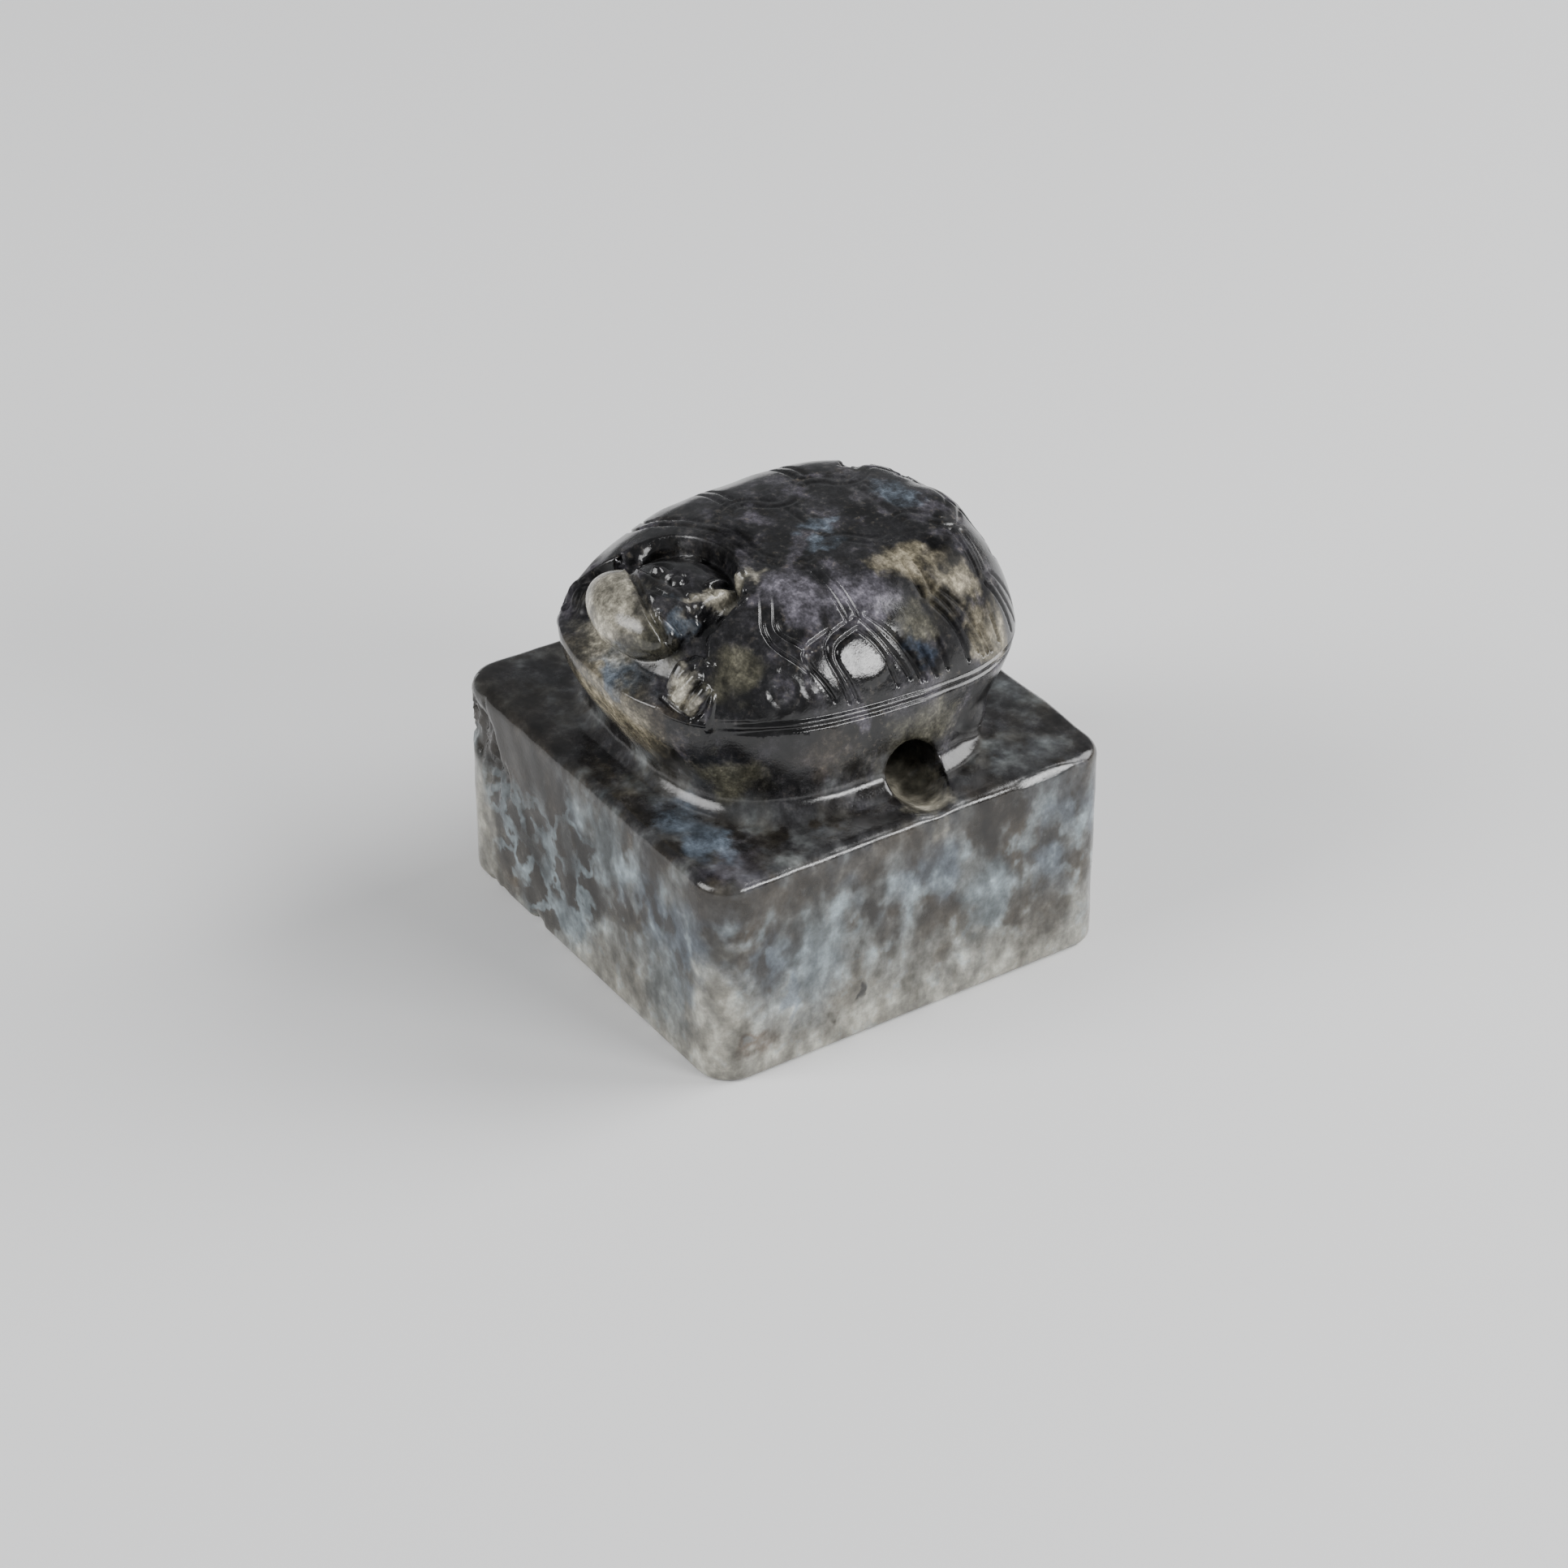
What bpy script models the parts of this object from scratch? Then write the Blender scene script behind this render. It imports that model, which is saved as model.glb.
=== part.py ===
"""Tortoise seal: a square seal block with a tortoise on it, carved from one mottled stone.

The seal face is the underside at z = 0, and the origin is its centre. The tortoise lies along Y with
its head towards -Y. A hole for a cord runs along X under its belly.
"""
import math

import bmesh
import bpy
import numpy as np
from mathutils import Euler, Vector

for old_object in list(bpy.data.objects):
    bpy.data.objects.remove(old_object, do_unlink=True)

MM = 0.001

# Seal block
BLOCK_WIDTH = 30.0 * MM
BLOCK_DEPTH = 29.0 * MM
BLOCK_HEIGHT = 14.3 * MM
CORNER_RADIUS = 2.3 * MM
TOP_EDGE_RADIUS = 0.8 * MM
FACE_EDGE_RADIUS = 0.4 * MM

# Tortoise: the rim is the widest line of the body, the dome rises from it, the flank falls from it
RIM_HALF_WIDTH = 11.25 * MM
RIM_FRONT = 13.6 * MM
RIM_REAR = 14.2 * MM
RIM_SQUARENESS = 2.6
RIM_EGG = 0.08
RIM_HEIGHT = 20.85 * MM
RIM_TILT = 0.9 * MM
DOME_RISE = 6.35 * MM
DOME_PEAK_Y = 4.5 * MM
DOME_SPREAD = 0.41
DOME_SWELL = 1.7
BASE_HALF_WIDTH = 11.0 * MM
BASE_FRONT = 10.5 * MM
BASE_REAR = 10.0 * MM
BASE_SQUARENESS = 3.0
BASE_FILLET = 1.1 * MM
FILLET_SHARE = 0.2
FLANK_FLARE = 1.6
BASE_SINK = 1.2 * MM
BODY_COLUMNS = 64
FLANK_STEPS = (0.0, 0.05, 0.11, 0.2, 0.35, 0.55, 0.75)
RIM_LINE_STEPS = (0.86, 0.885, 0.91, 0.95, 0.975, 1.0)
RIM_LINE_CUTS = (0.0, 1.0, 0.0, 0.0, 1.0, 0.0)
RIM_LINE_DEPTH = 0.25 * MM
RIM_LINE_FADE = 4.0
RIM_LINE_END = -0.85
DOME_STEPS = (6, 14, 23, 33, 43, 53, 63, 73, 82)
SHELL_SAMPLES = 400
SHELL_TURNS = 6

# Cord hole between belly and block. At each mouth a slanted cut opens it into a trough, which climbs
# over the block's margin and runs out at the top edge.
HOLE_RADIUS = 1.85 * MM
HOLE_MOUTH = Vector((11.0 * MM, 2.4 * MM, 14.75 * MM))
HOLE_SIDES = 20
TROUGH_END = Vector((15.0 * MM, 1.1 * MM, 16.95 * MM))
TROUGH_END_RADIUS = 2.6 * MM
TROUGH_OVERRUN = 0.35

# Head and feet, drawn into the front of the shell
SKULL_CENTRE = Vector((0.2 * MM, -7.6 * MM, 24.5 * MM))
SKULL_RADII = Vector((3.8 * MM, 3.5 * MM, 2.4 * MM))
SNOUT_CENTRE = Vector((-0.2 * MM, -10.3 * MM, 24.1 * MM))
SNOUT_RADII = Vector((4.5 * MM, 2.7 * MM, 1.9 * MM))
SNOUT_PITCH = math.radians(26)
EYE_RADIUS = 0.75 * MM
EYE_SPREAD = 1.75 * MM
EYE_Y = -8.6 * MM
EYE_Z = 26.1 * MM
FRONT_FOOT = Vector((6.0 * MM, -9.7 * MM, 22.0 * MM))
FRONT_FOOT_RADII = Vector((1.9 * MM, 1.7 * MM, 2.1 * MM))
TOE_PROUD = Vector((0.65 * MM, -1.25 * MM, 0.9 * MM))
TOE_STEP = Vector((0.7 * MM, 0.4 * MM, -0.35 * MM))
TOE_RADII = Vector((0.42 * MM, 0.55 * MM, 1.15 * MM))
REAR_FOOT = Vector((7.5 * MM, 7.0 * MM, 16.2 * MM))
REAR_FOOT_RADII = Vector((2.7 * MM, 2.7 * MM, 2.9 * MM))
TAIL_CENTRE = Vector((0.9 * MM, 11.3 * MM, 18.0 * MM))
TAIL_RADII = Vector((0.9 * MM, 1.5 * MM, 2.3 * MM))
TAIL_LEAN = math.radians(28)
TOE_LEAN = math.radians(-32)
TOE_SPLAY = math.radians(14)

# Incised lines: every line between the shell's plates is a pair of shallow grooves
GROOVE_RADIUS = 0.26 * MM
GROOVE_PAIR_GAP = 0.42 * MM
LINE_STEP = 1.7 * MM
COSTAL_LINES_Y = (-1.1 * MM, 4.3 * MM, 9.0 * MM)
COSTAL_LEAN = 0.5 * MM
VERTEBRAL_WIDE = 5.0 * MM
VERTEBRAL_NARROW = 1.9 * MM
VERTEBRAL_FRONT_Y = -2.7 * MM
FRONT_PLATE = ((5.8 * MM, -4.7 * MM), (7.6 * MM, -5.9 * MM), (9.4 * MM, -4.2 * MM))
EDGE_PLATE_SHARE = 0.79
EDGE_PLATE_FOOT = 0.985
EDGE_PLATE_FRONT = -2.0 * MM
EDGE_PLATE_REAR = 2.6 * MM
VERTEBRAL_REAR_Y = 11.2 * MM
REAR_LINE_Y = 13.0 * MM

# Shell opening: an arch over the head, with a moat between it and the skull
ARCH_CENTRE = Vector((0.2 * MM, -8.6 * MM))
ARCH_HALF_WIDTH = 5.3 * MM
ARCH_LENGTH = 4.8 * MM
MOAT_INSET = 0.6 * MM
MOAT_RADIUS = 0.75 * MM
MOAT_SINK = 0.05 * MM
MOAT_TURNS = (math.radians(-8), math.radians(188))
SHELL_CORNER = Vector((7.5 * MM, -10.4 * MM))

# Natural skin at one corner, a nick in the seal face's edge, and chips behind the shell's peak
FLAWS = (
    ((-13.6 * MM, -16.2 * MM, 11.0 * MM), (4.2 * MM, 2.35 * MM, 3.3 * MM)),
    ((-16.2 * MM, -12.9 * MM, 10.0 * MM), (1.7 * MM, 2.8 * MM, 3.0 * MM)),
    ((-10.6 * MM, -15.6 * MM, 9.2 * MM), (2.6 * MM, 1.5 * MM, 2.6 * MM)),
    ((-6.0 * MM, -14.9 * MM, 0.0 * MM), (1.2 * MM, 0.9 * MM, 0.7 * MM)),
    ((-3.6 * MM, 7.4 * MM, 27.9 * MM), (1.5 * MM, 1.0 * MM, 1.1 * MM)),
    ((-1.4 * MM, 10.6 * MM, 27.3 * MM), (1.6 * MM, 1.0 * MM, 1.1 * MM)),
)


def signed_power(value, exponent):
    """Power that keeps the sign, for rounded squares."""
    return np.sign(value) * np.abs(value) ** exponent


def rounded_square(angle, half_width, front, rear, squareness, egg=0.0):
    """Plan outline: a superellipse with its own front and rear length, wider behind by the egg share."""
    cosine, sine = np.cos(angle), np.sin(angle)
    length = np.where(sine < 0.0, front, rear)
    x = half_width * signed_power(cosine, 2.0 / squareness) * (1.0 + egg * sine)
    y = length * signed_power(sine, 2.0 / squareness)
    return x, y


def rim_line(angle):
    """The widest line of the body. It rises towards the head."""
    x, y = rounded_square(angle, RIM_HALF_WIDTH, RIM_FRONT, RIM_REAR, RIM_SQUARENESS, RIM_EGG)
    return x, y, RIM_HEIGHT - RIM_TILT * np.sin(angle)


def dome_row(angle, climb):
    """A row of the shell: climb runs from 0 at the rim to a right angle at the peak."""
    x, y, z = rim_line(angle)
    shrink = np.cos(climb) ** DOME_SPREAD
    rise = np.sin(climb) ** DOME_SWELL
    peak_z = RIM_HEIGHT + DOME_RISE
    return x * shrink, DOME_PEAK_Y + (y - DOME_PEAK_Y) * shrink, z + (peak_z - z) * rise


def flank_row(angle, share, cut=0.0):
    """A row of the flank: share runs from 0 on the block to 1 at the rim, with a fillet at its foot.

    A cut of 1 sinks the row into one of the two lines under the rim, which fade out at the breast.
    """
    base_x, base_y = rounded_square(angle, BASE_HALF_WIDTH, BASE_FRONT, BASE_REAR, BASE_SQUARENESS)
    rim_x, rim_y, rim_z = rim_line(angle)
    blend = np.sin(0.5 * math.pi * share) ** FLANK_FLARE
    x = base_x + (rim_x - base_x) * blend
    y = base_y + (rim_y - base_y) * blend
    flare = BASE_FILLET * max(0.0, 1.0 - share / FILLET_SHARE) ** 2
    side = np.clip(RIM_LINE_FADE * (np.sin(angle) - RIM_LINE_END), 0.0, 1.0)
    grow = 1.0 + (flare - cut * RIM_LINE_DEPTH * side) / np.hypot(x, y)
    return x * grow, y * grow, BLOCK_HEIGHT + (rim_z - BLOCK_HEIGHT) * share


def shell_height(x, y):
    """Height of the dome above a plan point, found by following the row that passes through it."""
    climb = np.linspace(0.0, 0.5 * math.pi, SHELL_SAMPLES)
    angle = np.full_like(climb, math.atan2(y - DOME_PEAK_Y, x))
    for _ in range(SHELL_TURNS):
        row_x, row_y, _ = dome_row(angle, climb)
        angle = angle + math.atan2(y - DOME_PEAK_Y, x) - np.arctan2(row_y - DOME_PEAK_Y, row_x)
    row_x, row_y, row_z = dome_row(angle, climb)
    reach = np.hypot(row_x, row_y - DOME_PEAK_Y)
    return float(np.interp(math.hypot(x, y - DOME_PEAK_Y), reach[::-1], row_z[::-1]))


def add_object(name, mesh):
    """Link a mesh to the scene as a named object."""
    new_object = bpy.data.objects.new(name, mesh)
    bpy.context.scene.collection.objects.link(new_object)
    return new_object


def make_guide(guide):
    """Mark an object as a helper form that is not part of the stone."""
    guide.hide_render = True
    guide.display_type = 'WIRE'
    return guide


def apply_boolean(target, tool, operation, keep_overlaps=False):
    """Join a form to the stone, or cut it away."""
    boolean = target.modifiers.new(operation.title(), 'BOOLEAN')
    boolean.operation = operation
    boolean.solver = 'EXACT'
    boolean.use_self = keep_overlaps
    boolean.object = make_guide(tool)


def make_block():
    """The square block: a box with rounded uprights and softly broken edges."""
    mesh = bpy.data.meshes.new("block")
    form = bmesh.new()
    bmesh.ops.create_cube(form, size=1.0)
    bmesh.ops.scale(form, vec=(BLOCK_WIDTH, BLOCK_DEPTH, BLOCK_HEIGHT), verts=form.verts)
    bmesh.ops.translate(form, vec=(0.0, 0.0, BLOCK_HEIGHT / 2.0), verts=form.verts)
    uprights = [edge for edge in form.edges if abs(edge.verts[0].co.z - edge.verts[1].co.z) > MM]
    bmesh.ops.bevel(form, geom=uprights, offset=CORNER_RADIUS, segments=6, profile=0.5, affect='EDGES')
    for height, radius in ((BLOCK_HEIGHT, TOP_EDGE_RADIUS), (0.0, FACE_EDGE_RADIUS)):
        ring = [edge for edge in form.edges
                if all(abs(corner.co.z - height) < 0.01 * MM for corner in edge.verts)]
        bmesh.ops.bevel(form, geom=ring, offset=radius, segments=3, profile=0.5, affect='EDGES')
    form.to_mesh(mesh)
    form.free()
    return add_object("tortoise_seal", mesh)


def make_body():
    """The tortoise's body: closed rings from inside the block, up the flank and over the dome."""
    angle = np.linspace(0.0, 2.0 * math.pi, BODY_COLUMNS, endpoint=False)
    foot_x, foot_y, foot_z = flank_row(angle, 0.0)
    rows = [(foot_x, foot_y, foot_z - BASE_SINK)]
    rows += [flank_row(angle, share) for share in FLANK_STEPS]
    rows += [flank_row(angle, share, cut) for share, cut in zip(RIM_LINE_STEPS, RIM_LINE_CUTS)]
    rows += [dome_row(angle, math.radians(step)) for step in DOME_STEPS]
    form = bmesh.new()
    rings = [[form.verts.new(point) for point in zip(*row)] for row in rows]
    form.faces.new(list(reversed(rings[0])))
    for lower, upper in zip(rings, rings[1:]):
        for column in range(BODY_COLUMNS):
            after = (column + 1) % BODY_COLUMNS
            form.faces.new((lower[column], lower[after], upper[after], upper[column]))
    peak = form.verts.new((0.0, DOME_PEAK_Y, RIM_HEIGHT + DOME_RISE))
    for column in range(BODY_COLUMNS):
        form.faces.new((rings[-1][column], rings[-1][(column + 1) % BODY_COLUMNS], peak))
    mesh = bpy.data.meshes.new("body")
    form.to_mesh(mesh)
    form.free()
    return add_object("body", mesh)


def make_ellipsoid(name, centre, radii, turn=(0.0, 0.0, 0.0), columns=20, rows=12):
    """A rounded form, turned and placed in its mesh."""
    form = bmesh.new()
    bmesh.ops.create_uvsphere(form, u_segments=columns, v_segments=rows, radius=1.0)
    bmesh.ops.scale(form, vec=radii, verts=form.verts)
    bmesh.ops.rotate(form, cent=(0.0, 0.0, 0.0), matrix=Euler(turn).to_matrix(), verts=form.verts)
    bmesh.ops.translate(form, vec=centre, verts=form.verts)
    mesh = bpy.data.meshes.new(name)
    form.to_mesh(mesh)
    form.free()
    return add_object(name, mesh)


def make_bars(name, paths, radius):
    """Slim bars of square section along the given paths, as one object, to cut the incised lines."""
    curve = bpy.data.curves.new(name, 'CURVE')
    curve.dimensions = '3D'
    curve.bevel_depth = radius
    curve.bevel_resolution = 0
    curve.use_fill_caps = True
    for path in paths:
        spline = curve.splines.new('POLY')
        spline.points.add(len(path) - 1)
        for point, place in zip(spline.points, path):
            point.co = (*place, 1.0)
    drawn = add_object(name, curve)
    graph = bpy.context.evaluated_depsgraph_get()
    mesh = bpy.data.meshes.new_from_object(drawn.evaluated_get(graph))
    bpy.data.objects.remove(drawn, do_unlink=True)
    return add_object(name, mesh)


def on_shell(plan_points, sink=0.0):
    """Carry a plan line onto the dome, with a point at every step of its length."""
    path = []
    for start, end in zip(plan_points, plan_points[1:]):
        start, end = Vector(start), Vector(end)
        steps = max(1, round((end - start).length / LINE_STEP))
        for step in range(steps):
            x, y = start.lerp(end, step / steps)
            path.append((x, y, shell_height(x, y) - sink))
    x, y = plan_points[-1]
    path.append((x, y, shell_height(x, y) - sink))
    return path


def doubled(plan_points, gap=GROOVE_PAIR_GAP):
    """The two lines of a pair, one on each side of a plan line."""
    points = [Vector(point) for point in plan_points]
    pair = []
    for side in (-1.0, 1.0):
        line = []
        for index, point in enumerate(points):
            run = points[min(index + 1, len(points) - 1)] - points[max(index - 1, 0)]
            across = Vector((-run.y, run.x)).normalized()
            line.append(point + across * gap * side)
        pair.append(line)
    return pair


def rim_half_width(y):
    """Half width of the rim at a place along the body."""
    share = min(abs(y) / (RIM_FRONT if y < 0.0 else RIM_REAR), 1.0)
    egg = 1.0 + math.copysign(RIM_EGG, y) * share ** (RIM_SQUARENESS / 2.0)
    return RIM_HALF_WIDTH * egg * (1.0 - share ** RIM_SQUARENESS) ** (1.0 / RIM_SQUARENESS)


def scute_lines():
    """Plan lines of the shell's plates: a middle row of six-sided plates, side plates, and an edge row."""
    lines = []
    waists = [0.5 * (y + next_y) + COSTAL_LEAN for y, next_y in zip(COSTAL_LINES_Y, COSTAL_LINES_Y[1:])]
    waists = [VERTEBRAL_FRONT_Y] + waists + [VERTEBRAL_REAR_Y]
    for side in (-1.0, 1.0):
        middle = [(side * VERTEBRAL_NARROW, VERTEBRAL_FRONT_Y)]
        lines.append(middle + [(side * x, y) for x, y in FRONT_PLATE])
        for y, waist_y in zip(COSTAL_LINES_Y, waists[1:]):
            joint = (side * VERTEBRAL_WIDE, y + COSTAL_LEAN)
            apex = (side * EDGE_PLATE_SHARE * rim_half_width(y), y)
            lines.append([joint, apex])
            for reach in (EDGE_PLATE_FRONT, EDGE_PLATE_REAR):
                foot_y = y + reach
                lines.append([apex, (side * EDGE_PLATE_FOOT * rim_half_width(foot_y), foot_y)])
            middle += [joint, (side * VERTEBRAL_NARROW, waist_y)]
        lines.append(middle)
        lines.append([(side * VERTEBRAL_NARROW, VERTEBRAL_REAR_Y), (side * VERTEBRAL_WIDE, REAR_LINE_Y)])
        arch_end = (ARCH_CENTRE.x + side * ARCH_HALF_WIDTH, ARCH_CENTRE.y)
        lines.append([arch_end, (side * SHELL_CORNER.x, SHELL_CORNER.y)])
    for waist_y in waists:
        lines.append([(-VERTEBRAL_NARROW, waist_y), (VERTEBRAL_NARROW, waist_y)])
    return lines


def arch_line(inset, first, last, count=13):
    """Plan line of the shell's front opening, an oval arch over the head."""
    points = []
    for step in range(count):
        turn = first + (last - first) * step / (count - 1)
        x = ARCH_CENTRE.x + (ARCH_HALF_WIDTH - inset) * math.cos(turn)
        y = ARCH_CENTRE.y + (ARCH_LENGTH - inset) * math.sin(turn)
        points.append((x, y))
    return points


def make_head():
    """The head, drawn in under the arch: a low skull, a broad blunt snout and two round eyes."""
    forms = [make_ellipsoid("skull", SKULL_CENTRE, SKULL_RADII)]
    forms.append(make_ellipsoid("snout", SNOUT_CENTRE, SNOUT_RADII, (SNOUT_PITCH, 0.0, 0.0)))
    for side in (-1.0, 1.0):
        centre = Vector((SKULL_CENTRE.x + side * EYE_SPREAD, EYE_Y, EYE_Z))
        forms.append(make_ellipsoid("eye", centre, (EYE_RADIUS,) * 3, columns=10, rows=6))
    return forms


def make_feet():
    """Four feet tucked against the body, each with three toes. The rear pair is plainer."""
    forms = []
    for side in (-1.0, 1.0):
        pad_centre = Vector((side * FRONT_FOOT.x, FRONT_FOOT.y, FRONT_FOOT.z))
        forms.append(make_ellipsoid("front_foot", pad_centre, FRONT_FOOT_RADII, columns=14, rows=8))
        for toe in (-1, 0, 1):
            shift = Vector((side * TOE_STEP.x, TOE_STEP.y, TOE_STEP.z)) * toe
            outward = Vector((side * TOE_PROUD.x, TOE_PROUD.y, TOE_PROUD.z))
            lean = (TOE_LEAN, side * TOE_SPLAY, 0.0)
            forms.append(make_ellipsoid("toe", pad_centre + outward + shift, TOE_RADII, lean, 8, 6))
        rear_centre = Vector((side * REAR_FOOT.x, REAR_FOOT.y, REAR_FOOT.z))
        forms.append(make_ellipsoid("rear_foot", rear_centre, REAR_FOOT_RADII, columns=14, rows=8))
    forms.append(make_ellipsoid("tail", TAIL_CENTRE, TAIL_RADII, (0.0, TAIL_LEAN, 0.0), 12, 8))
    return forms


def make_round_cut(name, start, end, start_radius, end_radius):
    """A round cut from start to end, whose radius may grow on the way."""
    run = end - start
    form = bmesh.new()
    bmesh.ops.create_cone(form, cap_ends=True, segments=HOLE_SIDES, radius1=start_radius,
                          radius2=end_radius, depth=run.length)
    turn = run.to_track_quat('Z', 'Y').to_matrix()
    bmesh.ops.rotate(form, cent=(0.0, 0.0, 0.0), matrix=turn, verts=form.verts)
    bmesh.ops.translate(form, vec=(start + end) / 2.0, verts=form.verts)
    mesh = bpy.data.meshes.new(name)
    form.to_mesh(mesh)
    form.free()
    return add_object(name, mesh)


def make_hole():
    """The cord's way under the belly, and the trough that climbs out of each of its mouths."""
    mouths = [Vector((side * HOLE_MOUTH.x, HOLE_MOUTH.y, HOLE_MOUTH.z)) for side in (-1.0, 1.0)]
    cutters = [make_round_cut("cord_hole", *mouths, HOLE_RADIUS, HOLE_RADIUS)]
    widening = TROUGH_OVERRUN * (TROUGH_END_RADIUS - HOLE_RADIUS)
    for side, mouth in zip((-1.0, 1.0), mouths):
        end = Vector((side * TROUGH_END.x, TROUGH_END.y, TROUGH_END.z))
        overrun = TROUGH_OVERRUN * (end - mouth)
        cutters.append(make_round_cut("trough", mouth - overrun, end + overrun,
                                      HOLE_RADIUS - widening, TROUGH_END_RADIUS + widening))
    return cutters


def make_flaws():
    """Places where the stone's natural skin or an old chip takes the form away."""
    return [make_ellipsoid("flaw", Vector(centre), Vector(radii), columns=12, rows=8)
            for centre, radii in FLAWS]


def jade():
    """Polished grey-green stone clouded with dark brown."""
    material = bpy.data.materials.new("mottled_jade")
    material.use_nodes = True
    shader = material.node_tree.nodes["Principled BSDF"]
    shader.inputs["Base Color"].default_value = (0.12, 0.12, 0.115, 1.0)
    shader.inputs["Roughness"].default_value = 0.22
    shader.inputs["Metallic"].default_value = 0.0
    return material


def make_seal():
    """The whole stone: raised forms are joined first, then every hollow and line is cut."""
    stone = make_block()
    for form in [make_body()] + make_head() + make_feet():
        apply_boolean(stone, form, 'UNION')
    moat = on_shell(arch_line(MOAT_INSET, *MOAT_TURNS), MOAT_SINK)
    apply_boolean(stone, make_bars("moat", [moat], MOAT_RADIUS), 'DIFFERENCE')
    for cutter in make_hole() + make_flaws():
        apply_boolean(stone, cutter, 'DIFFERENCE')
    pairs = [on_shell(line) for plate_line in scute_lines() for line in doubled(plate_line)]
    apply_boolean(stone, make_bars("scute_grooves", pairs, GROOVE_RADIUS), 'DIFFERENCE', True)
    stone.data.materials.append(jade())
    return stone


make_seal()
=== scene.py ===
import math

import bpy
import numpy as np
from mathutils import Euler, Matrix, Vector


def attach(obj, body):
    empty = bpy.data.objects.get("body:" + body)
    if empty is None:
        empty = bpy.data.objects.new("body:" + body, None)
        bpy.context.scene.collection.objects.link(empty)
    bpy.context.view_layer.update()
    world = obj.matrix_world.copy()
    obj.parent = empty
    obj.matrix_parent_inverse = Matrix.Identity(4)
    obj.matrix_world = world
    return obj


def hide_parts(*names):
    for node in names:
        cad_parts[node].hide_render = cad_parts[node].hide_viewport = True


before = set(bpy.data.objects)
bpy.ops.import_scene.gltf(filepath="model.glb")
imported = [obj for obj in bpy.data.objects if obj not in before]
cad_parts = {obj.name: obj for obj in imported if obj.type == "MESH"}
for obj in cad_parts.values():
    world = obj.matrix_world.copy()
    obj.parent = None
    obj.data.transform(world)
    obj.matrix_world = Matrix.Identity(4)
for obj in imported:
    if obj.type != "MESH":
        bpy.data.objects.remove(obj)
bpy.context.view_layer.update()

# The seal block
# The lower half of the stone: a square block sawn from the pebble, ground flat and polished.
# Its uprights are rounded and its edges broken by hand. Every size of the stone is in millimetres.

MM = 0.001
BLOCK_WIDTH = 30.0
BLOCK_DEPTH = 29.0
BLOCK_HEIGHT = 14.3
CORNER_RADIUS = 2.3
TOP_EDGE_RADIUS = 0.8
FACE_EDGE_RADIUS = 0.4
MARGIN_ROWS = 16
TOP_EDGE_ROWS = 6
SIDE_ROWS = 42
FACE_EDGE_ROWS = 4


def block_reach(bearing, inset):
    """How far the block's outline lies from the middle, in the direction of each bearing.

    On a flat side it is the half width over the cosine of the bearing. At a corner it is where the
    ray from the middle meets the corner's circle. The inset draws the whole outline in.
    """
    across, along = np.abs(np.cos(bearing)), np.abs(np.sin(bearing))
    half_x, half_y = BLOCK_WIDTH / 2.0 - inset, BLOCK_DEPTH / 2.0 - inset
    radius = CORNER_RADIUS - inset
    flat = np.minimum(half_x / np.maximum(across, 1e-9), half_y / np.maximum(along, 1e-9))
    centre_x, centre_y = half_x - radius, half_y - radius
    middle = across * centre_x + along * centre_y
    root = middle ** 2 - (centre_x ** 2 + centre_y ** 2 - radius ** 2)
    at_corner = (flat * across > centre_x) & (flat * along > centre_y)
    return np.where(at_corner, middle + np.sqrt(np.maximum(root, 0.0)), flat)


def block_rows(foot_x, foot_y):
    """The block's rows, from the tortoise's foot out over the margin and down to the seal face.

    Each column keeps its bearing from the middle. Over the margin its reach grows evenly from the
    foot to the top edge. Each broken edge is a quarter circle, and the side drops straight between.
    """
    bearing = np.arctan2(foot_y, foot_x)
    foot_reach = np.hypot(foot_x, foot_y)
    reaches, heights = [], []
    for share in np.linspace(0.0, 1.0, MARGIN_ROWS + 1)[1:]:
        reaches.append(foot_reach + (block_reach(bearing, TOP_EDGE_RADIUS) - foot_reach) * share)
        heights.append(BLOCK_HEIGHT)
    for turn in np.linspace(0.0, 0.5 * math.pi, TOP_EDGE_ROWS + 1)[1:]:
        reaches.append(block_reach(bearing, TOP_EDGE_RADIUS * (1.0 - math.sin(turn))))
        heights.append(BLOCK_HEIGHT - TOP_EDGE_RADIUS * (1.0 - math.cos(turn)))
    for height in np.linspace(BLOCK_HEIGHT - TOP_EDGE_RADIUS, FACE_EDGE_RADIUS, SIDE_ROWS + 1)[1:]:
        reaches.append(block_reach(bearing, 0.0))
        heights.append(height)
    for turn in np.linspace(0.0, 0.5 * math.pi, FACE_EDGE_ROWS + 1)[1:]:
        reaches.append(block_reach(bearing, FACE_EDGE_RADIUS * (1.0 - math.cos(turn))))
        heights.append(FACE_EDGE_RADIUS * (1.0 - math.sin(turn)))
    reach = np.array(reaches)
    height = np.repeat(np.array(heights)[:, None], reach.shape[1], axis=1)
    return np.stack([reach * np.cos(bearing), reach * np.sin(bearing), height], axis=-1)


# The tortoise's body
# It stands on the block as one stone with it: a flank that swells up from a small fillet to the rim,
# and the shell's dome above the rim. The head's end is at -Y, and the rim rises a little towards it.

RIM_HALF_WIDTH = 11.25
RIM_FRONT = 13.6
RIM_REAR = 14.2
RIM_SQUARENESS = 2.6
RIM_EGG = 0.08
RIM_HEIGHT = 20.85
RIM_TILT = 0.9
DOME_RISE = 6.2
DOME_PEAK_Y = 5.3
DOME_SPREAD = 0.41
DOME_SWELL = 1.7
BASE_HALF_WIDTH = 11.0
BASE_FRONT = 10.5
BASE_REAR = 10.0
BASE_SQUARENESS = 3.0
BASE_FILLET = 1.1
FILLET_SHARE = 0.2
FLANK_FLARE = 1.6
RIM_SAMPLES = 8192


def signed_power(value, exponent):
    """Power that keeps the sign, for rounded squares."""
    return np.sign(value) * np.abs(value) ** exponent


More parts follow.
